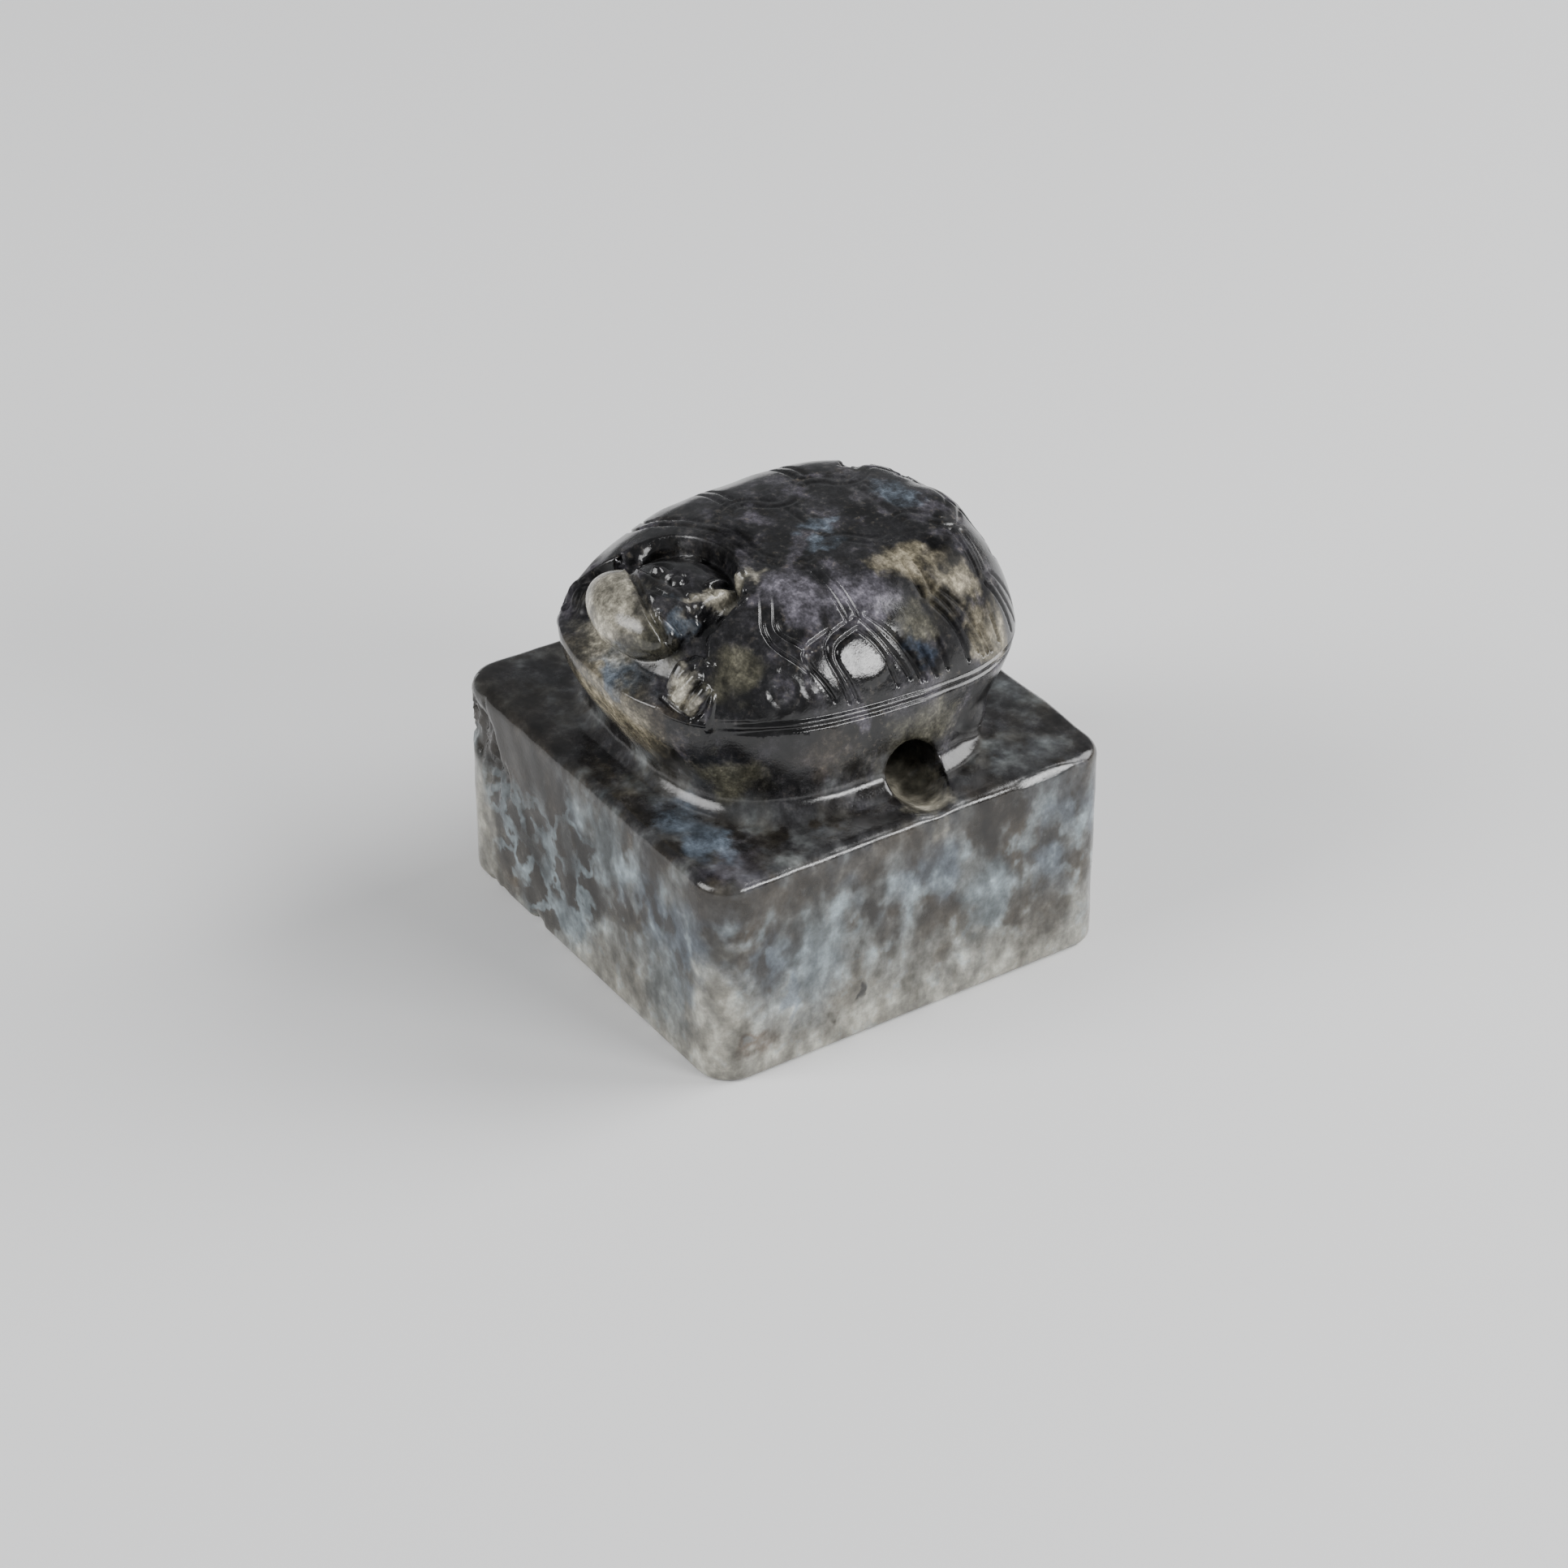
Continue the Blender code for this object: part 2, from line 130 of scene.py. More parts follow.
def rounded_square(angle, half_width, front, rear, squareness, egg=0.0):
    """Plan outline: a superellipse with its own front and rear length, wider behind by the egg share."""
    cosine, sine = np.cos(angle), np.sin(angle)
    length = np.where(sine < 0.0, front, rear)
    x = half_width * signed_power(cosine, 2.0 / squareness) * (1.0 + egg * sine)
    y = length * signed_power(sine, 2.0 / squareness)
    return x, y


def rim_line(angle):
    """The widest line of the body, a rounded square that rises towards the head."""
    x, y = rounded_square(angle, RIM_HALF_WIDTH, RIM_FRONT, RIM_REAR, RIM_SQUARENESS, RIM_EGG)
    return x, y, RIM_HEIGHT - RIM_TILT * np.sin(angle)


def dome_height(x, y):
    """Height of the shell above plan points.

    The line from the peak through the point meets the rim somewhere. The point's share of that line
    is a power of a cosine, and the height rises from the rim by a power of the matching sine.
    """
    turns = np.linspace(-math.pi, math.pi, RIM_SAMPLES)
    rim_x, rim_y, rim_z = rim_line(turns)
    bearing = np.unwrap(np.arctan2(rim_y - DOME_PEAK_Y, rim_x))
    wanted = bearing[0] + (np.arctan2(y - DOME_PEAK_Y, x) - bearing[0]) % (2.0 * math.pi)
    reach = np.interp(wanted, bearing, np.hypot(rim_x, rim_y - DOME_PEAK_Y))
    foot_z = np.interp(wanted, bearing, rim_z)
    share = np.clip(np.hypot(x, y - DOME_PEAK_Y) / reach, 0.0, 1.0)
    climb = np.arccos(share ** (1.0 / DOME_SPREAD))
    return foot_z + (RIM_HEIGHT + DOME_RISE - foot_z) * np.sin(climb) ** DOME_SWELL


def flank_row(angle, share):
    """A row of the flank: share runs from 0 on the block to 1 at the rim.

    The plan outline passes from the base's rounded square to the rim's by a power of a sine, and a
    fillet widens the lowest rows by the square of what is left of its height.
    """
    base_x, base_y = rounded_square(angle, BASE_HALF_WIDTH, BASE_FRONT, BASE_REAR, BASE_SQUARENESS)
    rim_x, rim_y, rim_z = rim_line(angle)
    blend = np.sin(0.5 * math.pi * share) ** FLANK_FLARE
    x = base_x + (rim_x - base_x) * blend
    y = base_y + (rim_y - base_y) * blend
    grow = 1.0 + BASE_FILLET * max(0.0, 1.0 - share / FILLET_SHARE) ** 2 / np.hypot(x, y)
    return np.stack([x * grow, y * grow, BLOCK_HEIGHT + (rim_z - BLOCK_HEIGHT) * share], axis=-1)


# The stone's skin
# Block and tortoise are one surface, laid out as one sheet: a square grid drawn out into rings covers
# the dome, and from its edge columns run down the flank and over the block to the seal face.

RINGS = 150
COLUMNS = 8 * RINGS
DOME_GRID_CENTRE = (0.6, -2.0)
DOME_MEAN_REACH = 12.8
FLANK_BANDS = ((1.0, 0.84, 16), (0.84, 0.26, 24), (0.26, 0.0, 14))
FLANK_SHARES = np.concatenate([np.linspace(high, low, rows + 1)[1:] for high, low, rows in FLANK_BANDS])
ON_DOME = 2.0
ON_BLOCK = -1.0
NEAR_SIDE_BEARING = math.radians(-40)
NEAR_SIDE_SHARE = 0.35


def column_angles(fraction):
    """The rim's angle at each fraction of the way round it, with the columns closer on the near side.

    The rim's length is summed with a weight that grows towards the near side, and read backwards.
    """
    turns = np.linspace(0.0, 2.0 * math.pi, RIM_SAMPLES)
    x, y, _ = rim_line(turns)
    weight = 1.0 + NEAR_SIDE_SHARE * np.cos(np.arctan2(y, x) - NEAR_SIDE_BEARING)[1:]
    length = np.concatenate([[0.0], np.cumsum(np.hypot(np.diff(x), np.diff(y)) * weight)])
    return np.interp(fraction % 1.0, length / length[-1], turns)


def ring_shrink(fraction):
    """How far out each ring of the dome lies, so that the rings are evenly spaced along the slope."""
    climb = np.linspace(0.5 * math.pi, 0.0, RIM_SAMPLES)
    out = np.cos(climb) ** DOME_SPREAD
    length = np.cumsum(np.hypot(np.diff(DOME_MEAN_REACH * out, prepend=0.0),
                                np.diff(DOME_RISE * np.sin(climb) ** DOME_SWELL, prepend=DOME_RISE)))
    return np.interp(fraction, length / length[-1], out)


def dome_grid():
    """The dome's points on a square grid whose rings are drawn out to the rim's shape.

    A point's ring is the larger of its two distances from the middle, and its place round the ring
    gives the column. Its plan place is that share of the way from the grid's centre to the rim.
    """
    steps = np.arange(-RINGS, RINGS + 1)
    across, along = np.meshgrid(steps, steps, indexing="ij")
    ring = np.maximum(np.abs(across), np.abs(along))
    place = np.select([(across == ring) & (along > -ring), along == ring, across == -ring],
                      [along, 2 * ring - across, 4 * ring - along], 6 * ring + across)
    angle = column_angles(place / np.maximum(8.0 * ring, 1.0))
    rim_x, rim_y, _ = rim_line(angle)
    shrink = ring_shrink(ring / RINGS)
    x = DOME_GRID_CENTRE[0] + (rim_x - DOME_GRID_CENTRE[0]) * shrink
    y = DOME_GRID_CENTRE[1] + (rim_y - DOME_GRID_CENTRE[1]) * shrink
    points = np.stack([x, y, dome_height(x, y)], axis=-1).reshape(-1, 3)
    index = np.arange(points.shape[0]).reshape(across.shape)
    quads = np.stack([index[:-1, :-1], index[1:, :-1], index[1:, 1:], index[:-1, 1:]], axis=-1)
    edge = np.zeros(COLUMNS, int)
    on_edge = ring == RINGS
    edge[place[on_edge] % COLUMNS] = index[on_edge]
    return points, quads.reshape(-1, 4), edge


def ring_quads(index):
    """Faces between rows of point numbers, where each row closes into a ring."""
    after = np.roll(index, -1, axis=1)
    return np.stack([index[:-1], index[1:], after[1:], after[:-1]], axis=-1).reshape(-1, 4)


def stone_skin():
    """The whole skin: points, four-sided faces, the ring round the seal face, and the points' shares.

    A point's share is its height on the flank, from 0 at the foot to 1 at the rim. The dome and the
    block have a share of their own, outside that range.
    """
    dome_points, dome_quads, edge = dome_grid()
    angle = column_angles(np.arange(COLUMNS) / COLUMNS)
    flank = np.stack([flank_row(angle, share) for share in FLANK_SHARES])
    rows = np.concatenate([flank, block_rows(flank[-1, :, 0], flank[-1, :, 1])])
    index = len(dome_points) + np.arange(rows.shape[0] * COLUMNS).reshape(rows.shape[0], COLUMNS)
    skirt = ring_quads(np.concatenate([edge[None, :], index]))
    share = np.full(rows.shape[:2], ON_BLOCK)
    share[:len(FLANK_SHARES)] = FLANK_SHARES[:, None]
    shares = np.concatenate([np.full(len(dome_points), ON_DOME), share.ravel()])
    points = np.concatenate([dome_points, rows.reshape(-1, 3)])
    return points, np.concatenate([dome_quads, skirt]), index[-1], shares


def skin_normals(points, quads):
    """Outward direction at every point: the crossed diagonals of its faces, added up."""
    corners = points[quads]
    face = np.cross(corners[:, 2] - corners[:, 0], corners[:, 3] - corners[:, 1])
    total = np.stack([np.bincount(quads.ravel(), np.repeat(face[:, axis], 4), len(points))
                      for axis in range(3)], axis=-1)
    return total / np.maximum(np.linalg.norm(total, axis=1, keepdims=True), 1e-12)


# Head, feet and tail
# Rounded forms left standing as the stone round them was cut away: a low skull, a broad blunt snout
# and two front feet. Behind are a plainer pair of feet, a tail, and a faint hump on the shell.

# Each form: its name, centre, radii, and turn in degrees.
BODY_FORMS = (
    ("skull", (0.2, -7.6, 24.5), (3.8, 3.5, 2.2), (0.0, 0.0, 0.0)),
    ("snout", (-0.4, -10.3, 24.4), (4.15, 2.35, 1.95), (22.0, 0.0, 0.0)),
    ("left front foot", (6.0, -9.7, 22.0), (1.9, 1.7, 2.1), (0.0, 0.0, 0.0)),
    ("right front foot", (-5.7, -9.6, 21.7), (1.7, 1.6, 1.9), (0.0, 0.0, 0.0)),
    ("left rear foot", (7.5, 7.0, 16.2), (2.7, 2.7, 2.9), (0.0, 0.0, 0.0)),
    ("right rear foot", (-7.5, 7.0, 16.2), (2.7, 2.7, 2.9), (0.0, 0.0, 0.0)),
    ("shell's rear hump", (1.2, 9.6, 24.4), (3.6, 2.9, 2.7), (0.0, 0.0, 0.0)),
    ("tail", (0.9, 10.9, 18.0), (1.2, 1.6, 2.6), (0.0, 20.0, 0.0)),
)
FORM_BLEND = 0.35


def ellipsoid_distance(points, centre, radii, turn=(0.0, 0.0, 0.0)):
    """Rough distance to a turned ellipsoid: how far out a point is in its radii, scaled back to length."""
    matrix = np.array(Euler([math.radians(angle) for angle in turn]).to_matrix())
    local = (points - np.array(centre)) @ matrix
    outward = np.linalg.norm(local / np.array(radii), axis=1)
    steep = np.linalg.norm(local / np.array(radii) ** 2, axis=1)
    return outward * (outward - 1.0) / np.maximum(steep, 1e-9)


def soft_least(first, second, blend):
    """The lesser of two distances, rounded off over the blend's width."""
    overlap = np.maximum(blend - np.abs(first - second), 0.0) / blend
    return np.minimum(first, second) - overlap ** 2 * blend * 0.25


# The shell's front opening
# The carver cut the shell's front edge as an arch over the head, and sank the stone inside it, so
# that the head lies drawn in under the arch. The arch's two ends run down beside the front feet.

ARCH_CENTRE = (0.2, -8.6)
ARCH_HALF_WIDTH = 5.3
ARCH_LENGTH = 4.8
SHELL_CORNER = (7.5, -10.4)
OPENING_DEPTH = 1.25
OPENING_WALL = 0.55
OPENING_FADE = (21.3, 23.4)


def smooth_step(value, low, high):
    """Eased ramp from 0 at low to 1 at high."""
    share = np.clip((value - low) / (high - low), 0.0, 1.0)
    return share * share * (3.0 - 2.0 * share)


def opening_inset(points):
    """How far inside the shell's front edge each plan point lies, in millimetres; negative on the shell.

    Behind the arch's ends the edge is half an oval. In front of them it is the line from the arch's end
    to the shell's corner, on each side.
    """
    x, y = points[:, 0] - ARCH_CENTRE[0], points[:, 1] - ARCH_CENTRE[1]
    reach = np.hypot(x / ARCH_HALF_WIDTH, y / ARCH_LENGTH)
    slope = np.hypot(x / ARCH_HALF_WIDTH ** 2, y / ARCH_LENGTH ** 2)
    arch = (1.0 - reach) * reach / np.maximum(slope, 1e-9)
    run = np.array([SHELL_CORNER[0] - ARCH_HALF_WIDTH, SHELL_CORNER[1] - ARCH_CENTRE[1]])
    run /= np.linalg.norm(run)
    side = -((np.abs(x) - ARCH_HALF_WIDTH) * -run[1] + y * run[0])
    return np.where(y > 0.0, arch, side)


# Flaws in the stone
# Natural brown skin left hollow at one corner, nicks in the seal face's edge, and long chips behind
# the shell's peak. The trough at each mouth of the cord hole is the carver's, cut up over the margin.

# Each flaw: its name, centre and radii, and its turn in degrees if it has one.
CHIP_TURN = (0.0, -33.6, -33.7)
CHIPS = (
    ("corner hollow", (-13.6, -16.3, 11.2), (4.4, 2.5, 3.5)),
    ("corner hollow", (-16.3, -12.9, 10.2), (1.9, 3.0, 3.2)),
    ("corner hollow", (-10.6, -15.7, 9.2), (2.8, 1.6, 2.8)),
    ("corner hollow", (-15.6, -15.4, 14.2), (2.2, 2.4, 1.5)),
    ("corner hollow", (-15.9, -15.9, 5.6), (1.9, 1.9, 2.6)),
    ("face nick", (-6.0, -14.9, 0.0), (1.2, 0.9, 0.7)),
    ("face nick", (-10.6, -14.9, -0.1), (1.5, 0.9, 0.6)),
    ("shell chip", (-5.9, 9.5, 26.9), (3.2, 1.3, 1.3), CHIP_TURN),
    ("shell chip", (-2.8, 11.4, 26.85), (2.6, 1.0, 1.1), CHIP_TURN),
    ("shell chip", (4.95, 13.0, 24.4), (2.6, 1.0, 1.0), CHIP_TURN),
)
CHIP_ROUGHNESS = 0.16
CHIP_BREAKS = ((1.0, 1.6, 3), (0.6, 0.7, 4))
CHIP_LIP = 0.12
WAVE_COUNT = 9
WAVE_SPREAD = (0.7, 1.4)
WAVE_GAIN = 0.6
HOLE_RADIUS = 1.85
HOLE_MOUTH = (11.0, 2.4, 14.75)
TROUGH_END = (15.0, 1.1, 16.95)
TROUGH_END_RADIUS = 2.6
TROUGH_REACH = (-0.2, 1.4)
TROUGH_LIP = 0.25
TRACE_START = 3.0
TRACE_STEPS = 44
TRACE_CARE = 0.75


def trough_distance(points, side):
    """Distance to the trough: a round bar that widens from the hole's mouth up over the margin."""
    mouth = np.array(HOLE_MOUTH) * (side, 1.0, 1.0)
    run = np.array(TROUGH_END) * (side, 1.0, 1.0) - mouth
    share = np.clip((points - mouth) @ run / (run @ run), *TROUGH_REACH)
    radius = HOLE_RADIUS + (TROUGH_END_RADIUS - HOLE_RADIUS) * share
    return np.linalg.norm(points - mouth - share[:, None] * run, axis=1) - radius


def rough(points, wave_length, waves, seed):
    """Uneven field between about -1 and 1: sine waves of one length, in seeded directions, added up."""
    draw = np.random.default_rng(seed)
    direction = draw.normal(size=(waves, 3))
    direction /= np.linalg.norm(direction, axis=1, keepdims=True)
    scale = draw.uniform(*WAVE_SPREAD, size=(waves, 1)) * 2.0 * math.pi / wave_length
    phase = draw.uniform(0.0, 2.0 * math.pi, size=waves)
    return np.sin(points @ (direction * scale).T + phase).sum(axis=1) / math.sqrt(0.5 * waves) * WAVE_GAIN


def carve(points, normals):
    """The large forms: how far each point of the skin moves along its normal to the carved surface.

    A probe comes in along the normal from outside. At each step it moves by its distance to the carved
    stone: the least of the distances to the sunk skin and to the forms, cut back by each hollow.
    """
    inset = opening_inset(points)
    sunk = OPENING_DEPTH * smooth_step(inset, 0.0, OPENING_WALL) * smooth_step(points[:, 2], *OPENING_FADE)
    sunk *= points[:, 1] < ARCH_CENTRE[1] + ARCH_LENGTH
    depth = np.full(len(points), TRACE_START)
    for _ in range(TRACE_STEPS):
        probe = points + normals * depth[:, None]
        gap = depth + sunk
        for _, centre, radii, turn in BODY_FORMS:
            gap = soft_least(gap, ellipsoid_distance(probe, centre, radii, turn), FORM_BLEND)
        for side in (-1.0, 1.0):
            gap = -soft_least(-gap, trough_distance(probe, side), TROUGH_LIP)
        breaks = [share * rough(probe, length, WAVE_COUNT, seed) for share, length, seed in CHIP_BREAKS]
        uneven = CHIP_ROUGHNESS * sum(breaks)
        for _, centre, radii, *turn in CHIPS:
            gap = -soft_least(-gap, ellipsoid_distance(probe, centre, radii, *turn) + uneven, CHIP_LIP)
        depth = depth - gap * TRACE_CARE
    return depth


def carved_skin(points, normals):
    """Carve the points that any form or hollow could reach, and leave the others where they are."""
    near = np.zeros(len(points), bool)
    for _, centre, radii, *_ in BODY_FORMS + CHIPS:
        near |= np.linalg.norm(points - np.array(centre), axis=1) < max(radii) + TRACE_START
    for side in (-1.0, 1.0):
        near |= trough_distance(points, side) < TRACE_START
    near |= (opening_inset(points) > 0.0) & (points[:, 2] > OPENING_FADE[0])
    moved = points.copy()
    moved[near] += normals[near] * carve(points[near], normals[near])[:, None]
    return moved


# The shell's plates
# Every seam between the plates is a pair of fine incised lines. A middle row of wide six-sided plates
# runs down the back, with side plates beside it, and each seam spreads into a fan of cuts at the rim.

# A fan's cuts are given by shares of the rim's half width, and millimetres along the body from the seam.
SEAM_GAP = 0.38
LINE_HALF_WIDTH = 0.19
LINE_DEPTH = 0.19
LINE_EASE = 1.3
LINE_STOP = -0.1
CROWN_DEPTH = 0.35
CROWN_SHARES = (0.3, 0.8)
COSTAL_LINES_Y = (-1.1, 4.3, 9.0)
COSTAL_LEAN = 0.5
VERTEBRAL_WIDE = 5.0
VERTEBRAL_NARROW = 1.9
VERTEBRAL_FRONT_Y = -2.7
VERTEBRAL_REAR_Y = 11.2
REAR_LINE_Y = 13.0
EDGE_PLATE_SHARE = 0.78
FRONT_PLATE = ((5.8, -4.7), (7.6, -5.9), (9.4, -4.2))
FRONT_FAN = (
    ((0.79, -1.3), (0.84, -3.8), (0.98, -2.2)),
    ((0.775, 0.6), (0.83, -2.3), (0.99, -1.3)),
    ((0.82, 0.5), (0.86, -1.8), (0.99, -0.7)),
)
WORN_FAN = (
    ((0.92, -2.2), (0.99, -1.3)),
    ((0.93, -1.2), (0.99, -0.5)),
    ((0.92, 0.1), (0.985, 0.4)),
)
REAR_FAN = (
    ((0.82, 0.5), (0.91, 1.6), (0.985, 2.1)),
    ((0.79, 1.0), (0.905, 2.1), (0.98, 3.0)),
    ((0.78, 1.4), (0.88, 2.7), (0.99, 3.8)),
)


def rim_half_width(y):
    """Half width of the rim at a place along the body."""
    share = np.minimum(np.abs(y) / np.where(y < 0.0, RIM_FRONT, RIM_REAR), 1.0)
    egg = 1.0 + np.sign(y) * RIM_EGG * share ** (RIM_SQUARENESS / 2.0)
    return RIM_HALF_WIDTH * egg * (1.0 - share ** RIM_SQUARENESS) ** (1.0 / RIM_SQUARENESS)


def rounded_path(corners, rounds=3):
    """A plan line with its corners cut, each round putting points at a quarter and three quarters."""
    path = np.array(corners, float)
    for _ in range(rounds):
        before, after = path[:-1], path[1:]
        cut = np.stack([0.75 * before + 0.25 * after, 0.25 * before + 0.75 * after], axis=1)
        path = np.concatenate([path[:1], cut.reshape(-1, path.shape[1]), path[-1:]])
    return path


def offset_path(path, shift):
    """The same plan line moved sideways by the shift."""
    run = np.gradient(path, axis=0)
    run /= np.linalg.norm(run, axis=1, keepdims=True)
    return path + np.stack([-run[:, 1], run[:, 0]], axis=1) * shift


def on_shell(path):
    """A plan line carried up onto the dome."""
    return np.column_stack([path, dome_height(path[:, 0], path[:, 1])])


def fan_cut(side, seam_y, corners):
    """One cut of a fan, by shares of the rim's half width and places along the body from the seam."""
    share, shift = np.array(corners).T
    return np.stack([side * share * rim_half_width(seam_y + shift), seam_y + shift], axis=1)


def plate_seams():
    """Plan lines of the seams between the shell's plates, and of the cuts that fan out at the rim."""
    waists = [0.5 * (y + next_y) + COSTAL_LEAN for y, next_y in zip(COSTAL_LINES_Y, COSTAL_LINES_Y[1:])]
    waists = [VERTEBRAL_FRONT_Y] + waists + [VERTEBRAL_REAR_Y]
    seams = [[(-VERTEBRAL_NARROW, waist_y), (VERTEBRAL_NARROW, waist_y)] for waist_y in waists]
    fans = []
    for side in (-1.0, 1.0):
        middle = [(side * VERTEBRAL_NARROW, VERTEBRAL_FRONT_Y)]
        seams.append(middle + [(side * x, y) for x, y in FRONT_PLATE])
        for number, (seam_y, waist_y) in enumerate(zip(COSTAL_LINES_Y, waists[1:])):
            joint = (side * VERTEBRAL_WIDE, seam_y + COSTAL_LEAN)
            seams.append([joint, (side * EDGE_PLATE_SHARE * rim_half_width(seam_y), seam_y + COSTAL_LEAN)])
            forward = FRONT_FAN if number == 0 else WORN_FAN
            fans += [fan_cut(side, seam_y, corners) for corners in forward + REAR_FAN]
            middle += [joint, (side * VERTEBRAL_NARROW, waist_y)]
        seams.append(middle)
        seams.append([(side * VERTEBRAL_NARROW, VERTEBRAL_REAR_Y), (side * VERTEBRAL_WIDE, REAR_LINE_Y)])
    return seams, fans


def distance_to_path(points, path):
    """Distance from each point to a line of joined runs: the least over the runs, ends included."""
    nearest = np.full(len(points), np.inf)
    for start, end in zip(path[:-1], path[1:]):
        run = end - start
        share = np.clip((points - start) @ run / max(run @ run, 1e-12), 0.0, 1.0)
        nearest = np.minimum(nearest, np.linalg.norm(points - start - share[:, None] * run, axis=1))
    return nearest


def groove(points, path, half_width, depth):
    """Depth of an incised line: deepest on the path, easing out to nothing at its half width."""
    cut = np.zeros(len(points))
    low, high = path.min(axis=0) - half_width, path.max(axis=0) + half_width
    near = ((points > low) & (points < high)).all(axis=1)
    share = distance_to_path(points[near], path) / half_width
    cut[near] = depth * np.maximum(0.0, 1.0 - share ** 2) ** LINE_EASE
    return cut


def plate_lines(base):
    """Depth of all the shell's lines at each point of the uncarved skin, less on the worn crown."""
    cut = np.zeros(len(base))
    seams, fans = plate_seams()
    lines = [offset_path(rounded_path(seam), shift) for seam in seams for shift in (-SEAM_GAP, SEAM_GAP)]
    for line in lines + [rounded_path(fan) for fan in fans]:
        cut = np.maximum(cut, groove(base, on_shell(line), LINE_HALF_WIDTH, LINE_DEPTH))
    share = np.abs(base[:, 0]) / np.maximum(rim_half_width(base[:, 1]), 1e-6)
    worn = CROWN_DEPTH + (1.0 - CROWN_DEPTH) * smooth_step(share, *CROWN_SHARES)
    return cut * worn * (opening_inset(base) < LINE_STOP)


# Lines under the rim
# Two lines cut round the top of the flank, one close under the other, mark the shell's lower edge.
# They run all the way round the back and fade out at the breast.

RIM_LINE_SHARES = (0.975, 0.885)
RIM_LINE_WIDTH = 0.035
RIM_LINE_DEPTH = 0.22
RIM_LINE_FADE = (-0.8, -0.55)


def rim_lines(base, shares):
    """Depth of the two lines under the rim, by each point's share of the flank's height."""
    cut = np.zeros(len(base))
    for place in RIM_LINE_SHARES:
        near = np.abs(shares - place) / RIM_LINE_WIDTH
        cut = np.maximum(cut, RIM_LINE_DEPTH * np.maximum(0.0, 1.0 - near ** 2) ** LINE_EASE)
    turn = base[:, 1] / np.maximum(np.hypot(base[:, 0], base[:, 1]), 1e-9)
    return cut * smooth_step(turn, *RIM_LINE_FADE)


# The face and the toes
# Cut with a fine point once the head and feet stood free: a brow, two small eyes with a ring between
# them, folded lips, and three toes on each front foot. A stroke of negative depth stands proud.

# Each stroke: its name, half width, depth, and the points that it runs through.
FACE_FLATTEN = 0.35
FACE_STROKES = (
    ("brow", 0.26, -0.39, (-4.3, -7.2, 25.1), (-4.2, -6.4, 25.8), (-3.3, -5.5, 26.2), (-1.3, -5.0, 25.8)),
    ("under the brow", 0.25, 0.24, (-3.6, -7.0, 25.6), (-3.2, -6.2, 26.0), (-1.2, -5.6, 25.9)),
    ("right eye", 0.34, -0.39, (-0.75, -8.45, 26.6), (-0.55, -8.35, 26.6)),
    ("left eye", 0.28, -0.33, (2.35, -8.1, 26.3), (2.6, -7.75, 26.2)),
    ("eye corner", 0.2, 0.21, (-1.6, -7.9, 26.4), (-1.2, -7.5, 26.5), (-0.4, -7.6, 26.6)),
    ("nose ridge", 0.45, -0.21, (-2.4, -9.3, 26.0), (0.0, -9.2, 26.4), (1.8, -8.9, 26.3),
     (2.8, -8.6, 26.0)),
    ("upper lip", 0.4, -0.30, (1.2, -10.0, 26.0), (2.3, -9.3, 26.1), (3.3, -8.7, 25.7), (3.8, -8.5, 25.2)),
    ("mouth", 0.32, 0.33, (2.4, -10.1, 25.7), (3.4, -9.5, 25.5), (4.3, -9.0, 25.0)),
    ("cheek fold", 0.55, -0.51, (2.5, -4.6, 26.6), (2.8, -5.6, 26.2), (2.9, -6.8, 26.1), (3.2, -8.0, 25.8)),
    ("behind the cheek", 0.26, 0.51, (4.2, -5.4, 26.6), (3.9, -6.4, 25.8), (4.2, -7.4, 25.5),
     (4.9, -8.4, 25.2)),
    ("fold rim", 0.14, -0.15, (4.8, -5.6, 26.6), (5.0, -6.5, 26.4), (5.3, -7.6, 25.9)),
    ("cheek dot", 0.2, 0.30, (2.75, -6.9, 26.1), (2.85, -6.85, 26.1)),
    ("snout edge", 0.34, 0.42, (-4.9, -8.4, 25.2), (-3.4, -8.9, 25.8), (-0.6, -9.9, 26.2),
     (1.0, -10.4, 26.0), (2.5, -10.8, 25.6), (3.9, -10.5, 24.9), (4.4, -10.2, 24.2)),
    ("cheek glint", 0.35, -0.35, (2.1, -6.6, 26.2), (1.8, -5.9, 26.3), (1.7, -5.1, 26.2)),
    ("snout fold", 0.16, 0.15, (-1.6, -9.9, 26.1), (-0.9, -10.3, 26.1), (0.2, -10.7, 26.0)),
)
RING_CENTRE = (0.8, -7.9, 26.7)
RING_RADIUS = 0.55
RING_STROKE = (0.22, 0.28)
FAR_TOES = 0.45
TOE_STROKES = (
    ("first toe", 0.55, -0.34, (5.3, -10.5, 23.6), (5.2, -11.2, 22.5)),
    ("second toe", 0.5, -0.4, (6.7, -10.4, 23.6), (6.2, -11.3, 22.3)),
    ("third toe", 0.42, -0.36, (7.4, -10.3, 23.1), (7.0, -11.1, 21.8)),
    ("between toes", 0.26, 0.3, (6.1, -10.2, 23.9), (5.6, -11.3, 22.4)),
    ("between toes", 0.24, 0.3, (7.1, -10.5, 23.4), (6.7, -11.3, 21.9)),
    ("beside the toes", 0.26, 0.26, (7.9, -10.1, 23.3), (7.8, -10.6, 22.2), (7.5, -11.0, 21.5)),
    ("under the toes", 0.2, 0.16, (5.2, -11.9, 22.0), (6.3, -11.8, 21.7), (7.3, -11.3, 21.4)),
    ("foot rim", 0.2, -0.16, (5.6, -12.3, 21.6), (6.6, -11.9, 21.3), (7.9, -10.7, 21.1)),
    ("foot top", 0.24, -0.18, (4.5, -9.7, 23.8), (5.6, -9.5, 24.1), (6.8, -9.3, 24.2)),
    ("shell corner", 0.3, -0.16, (8.0, -10.0, 23.0), (8.05, -10.3, 22.0), (8.1, -10.5, 20.8)),
)


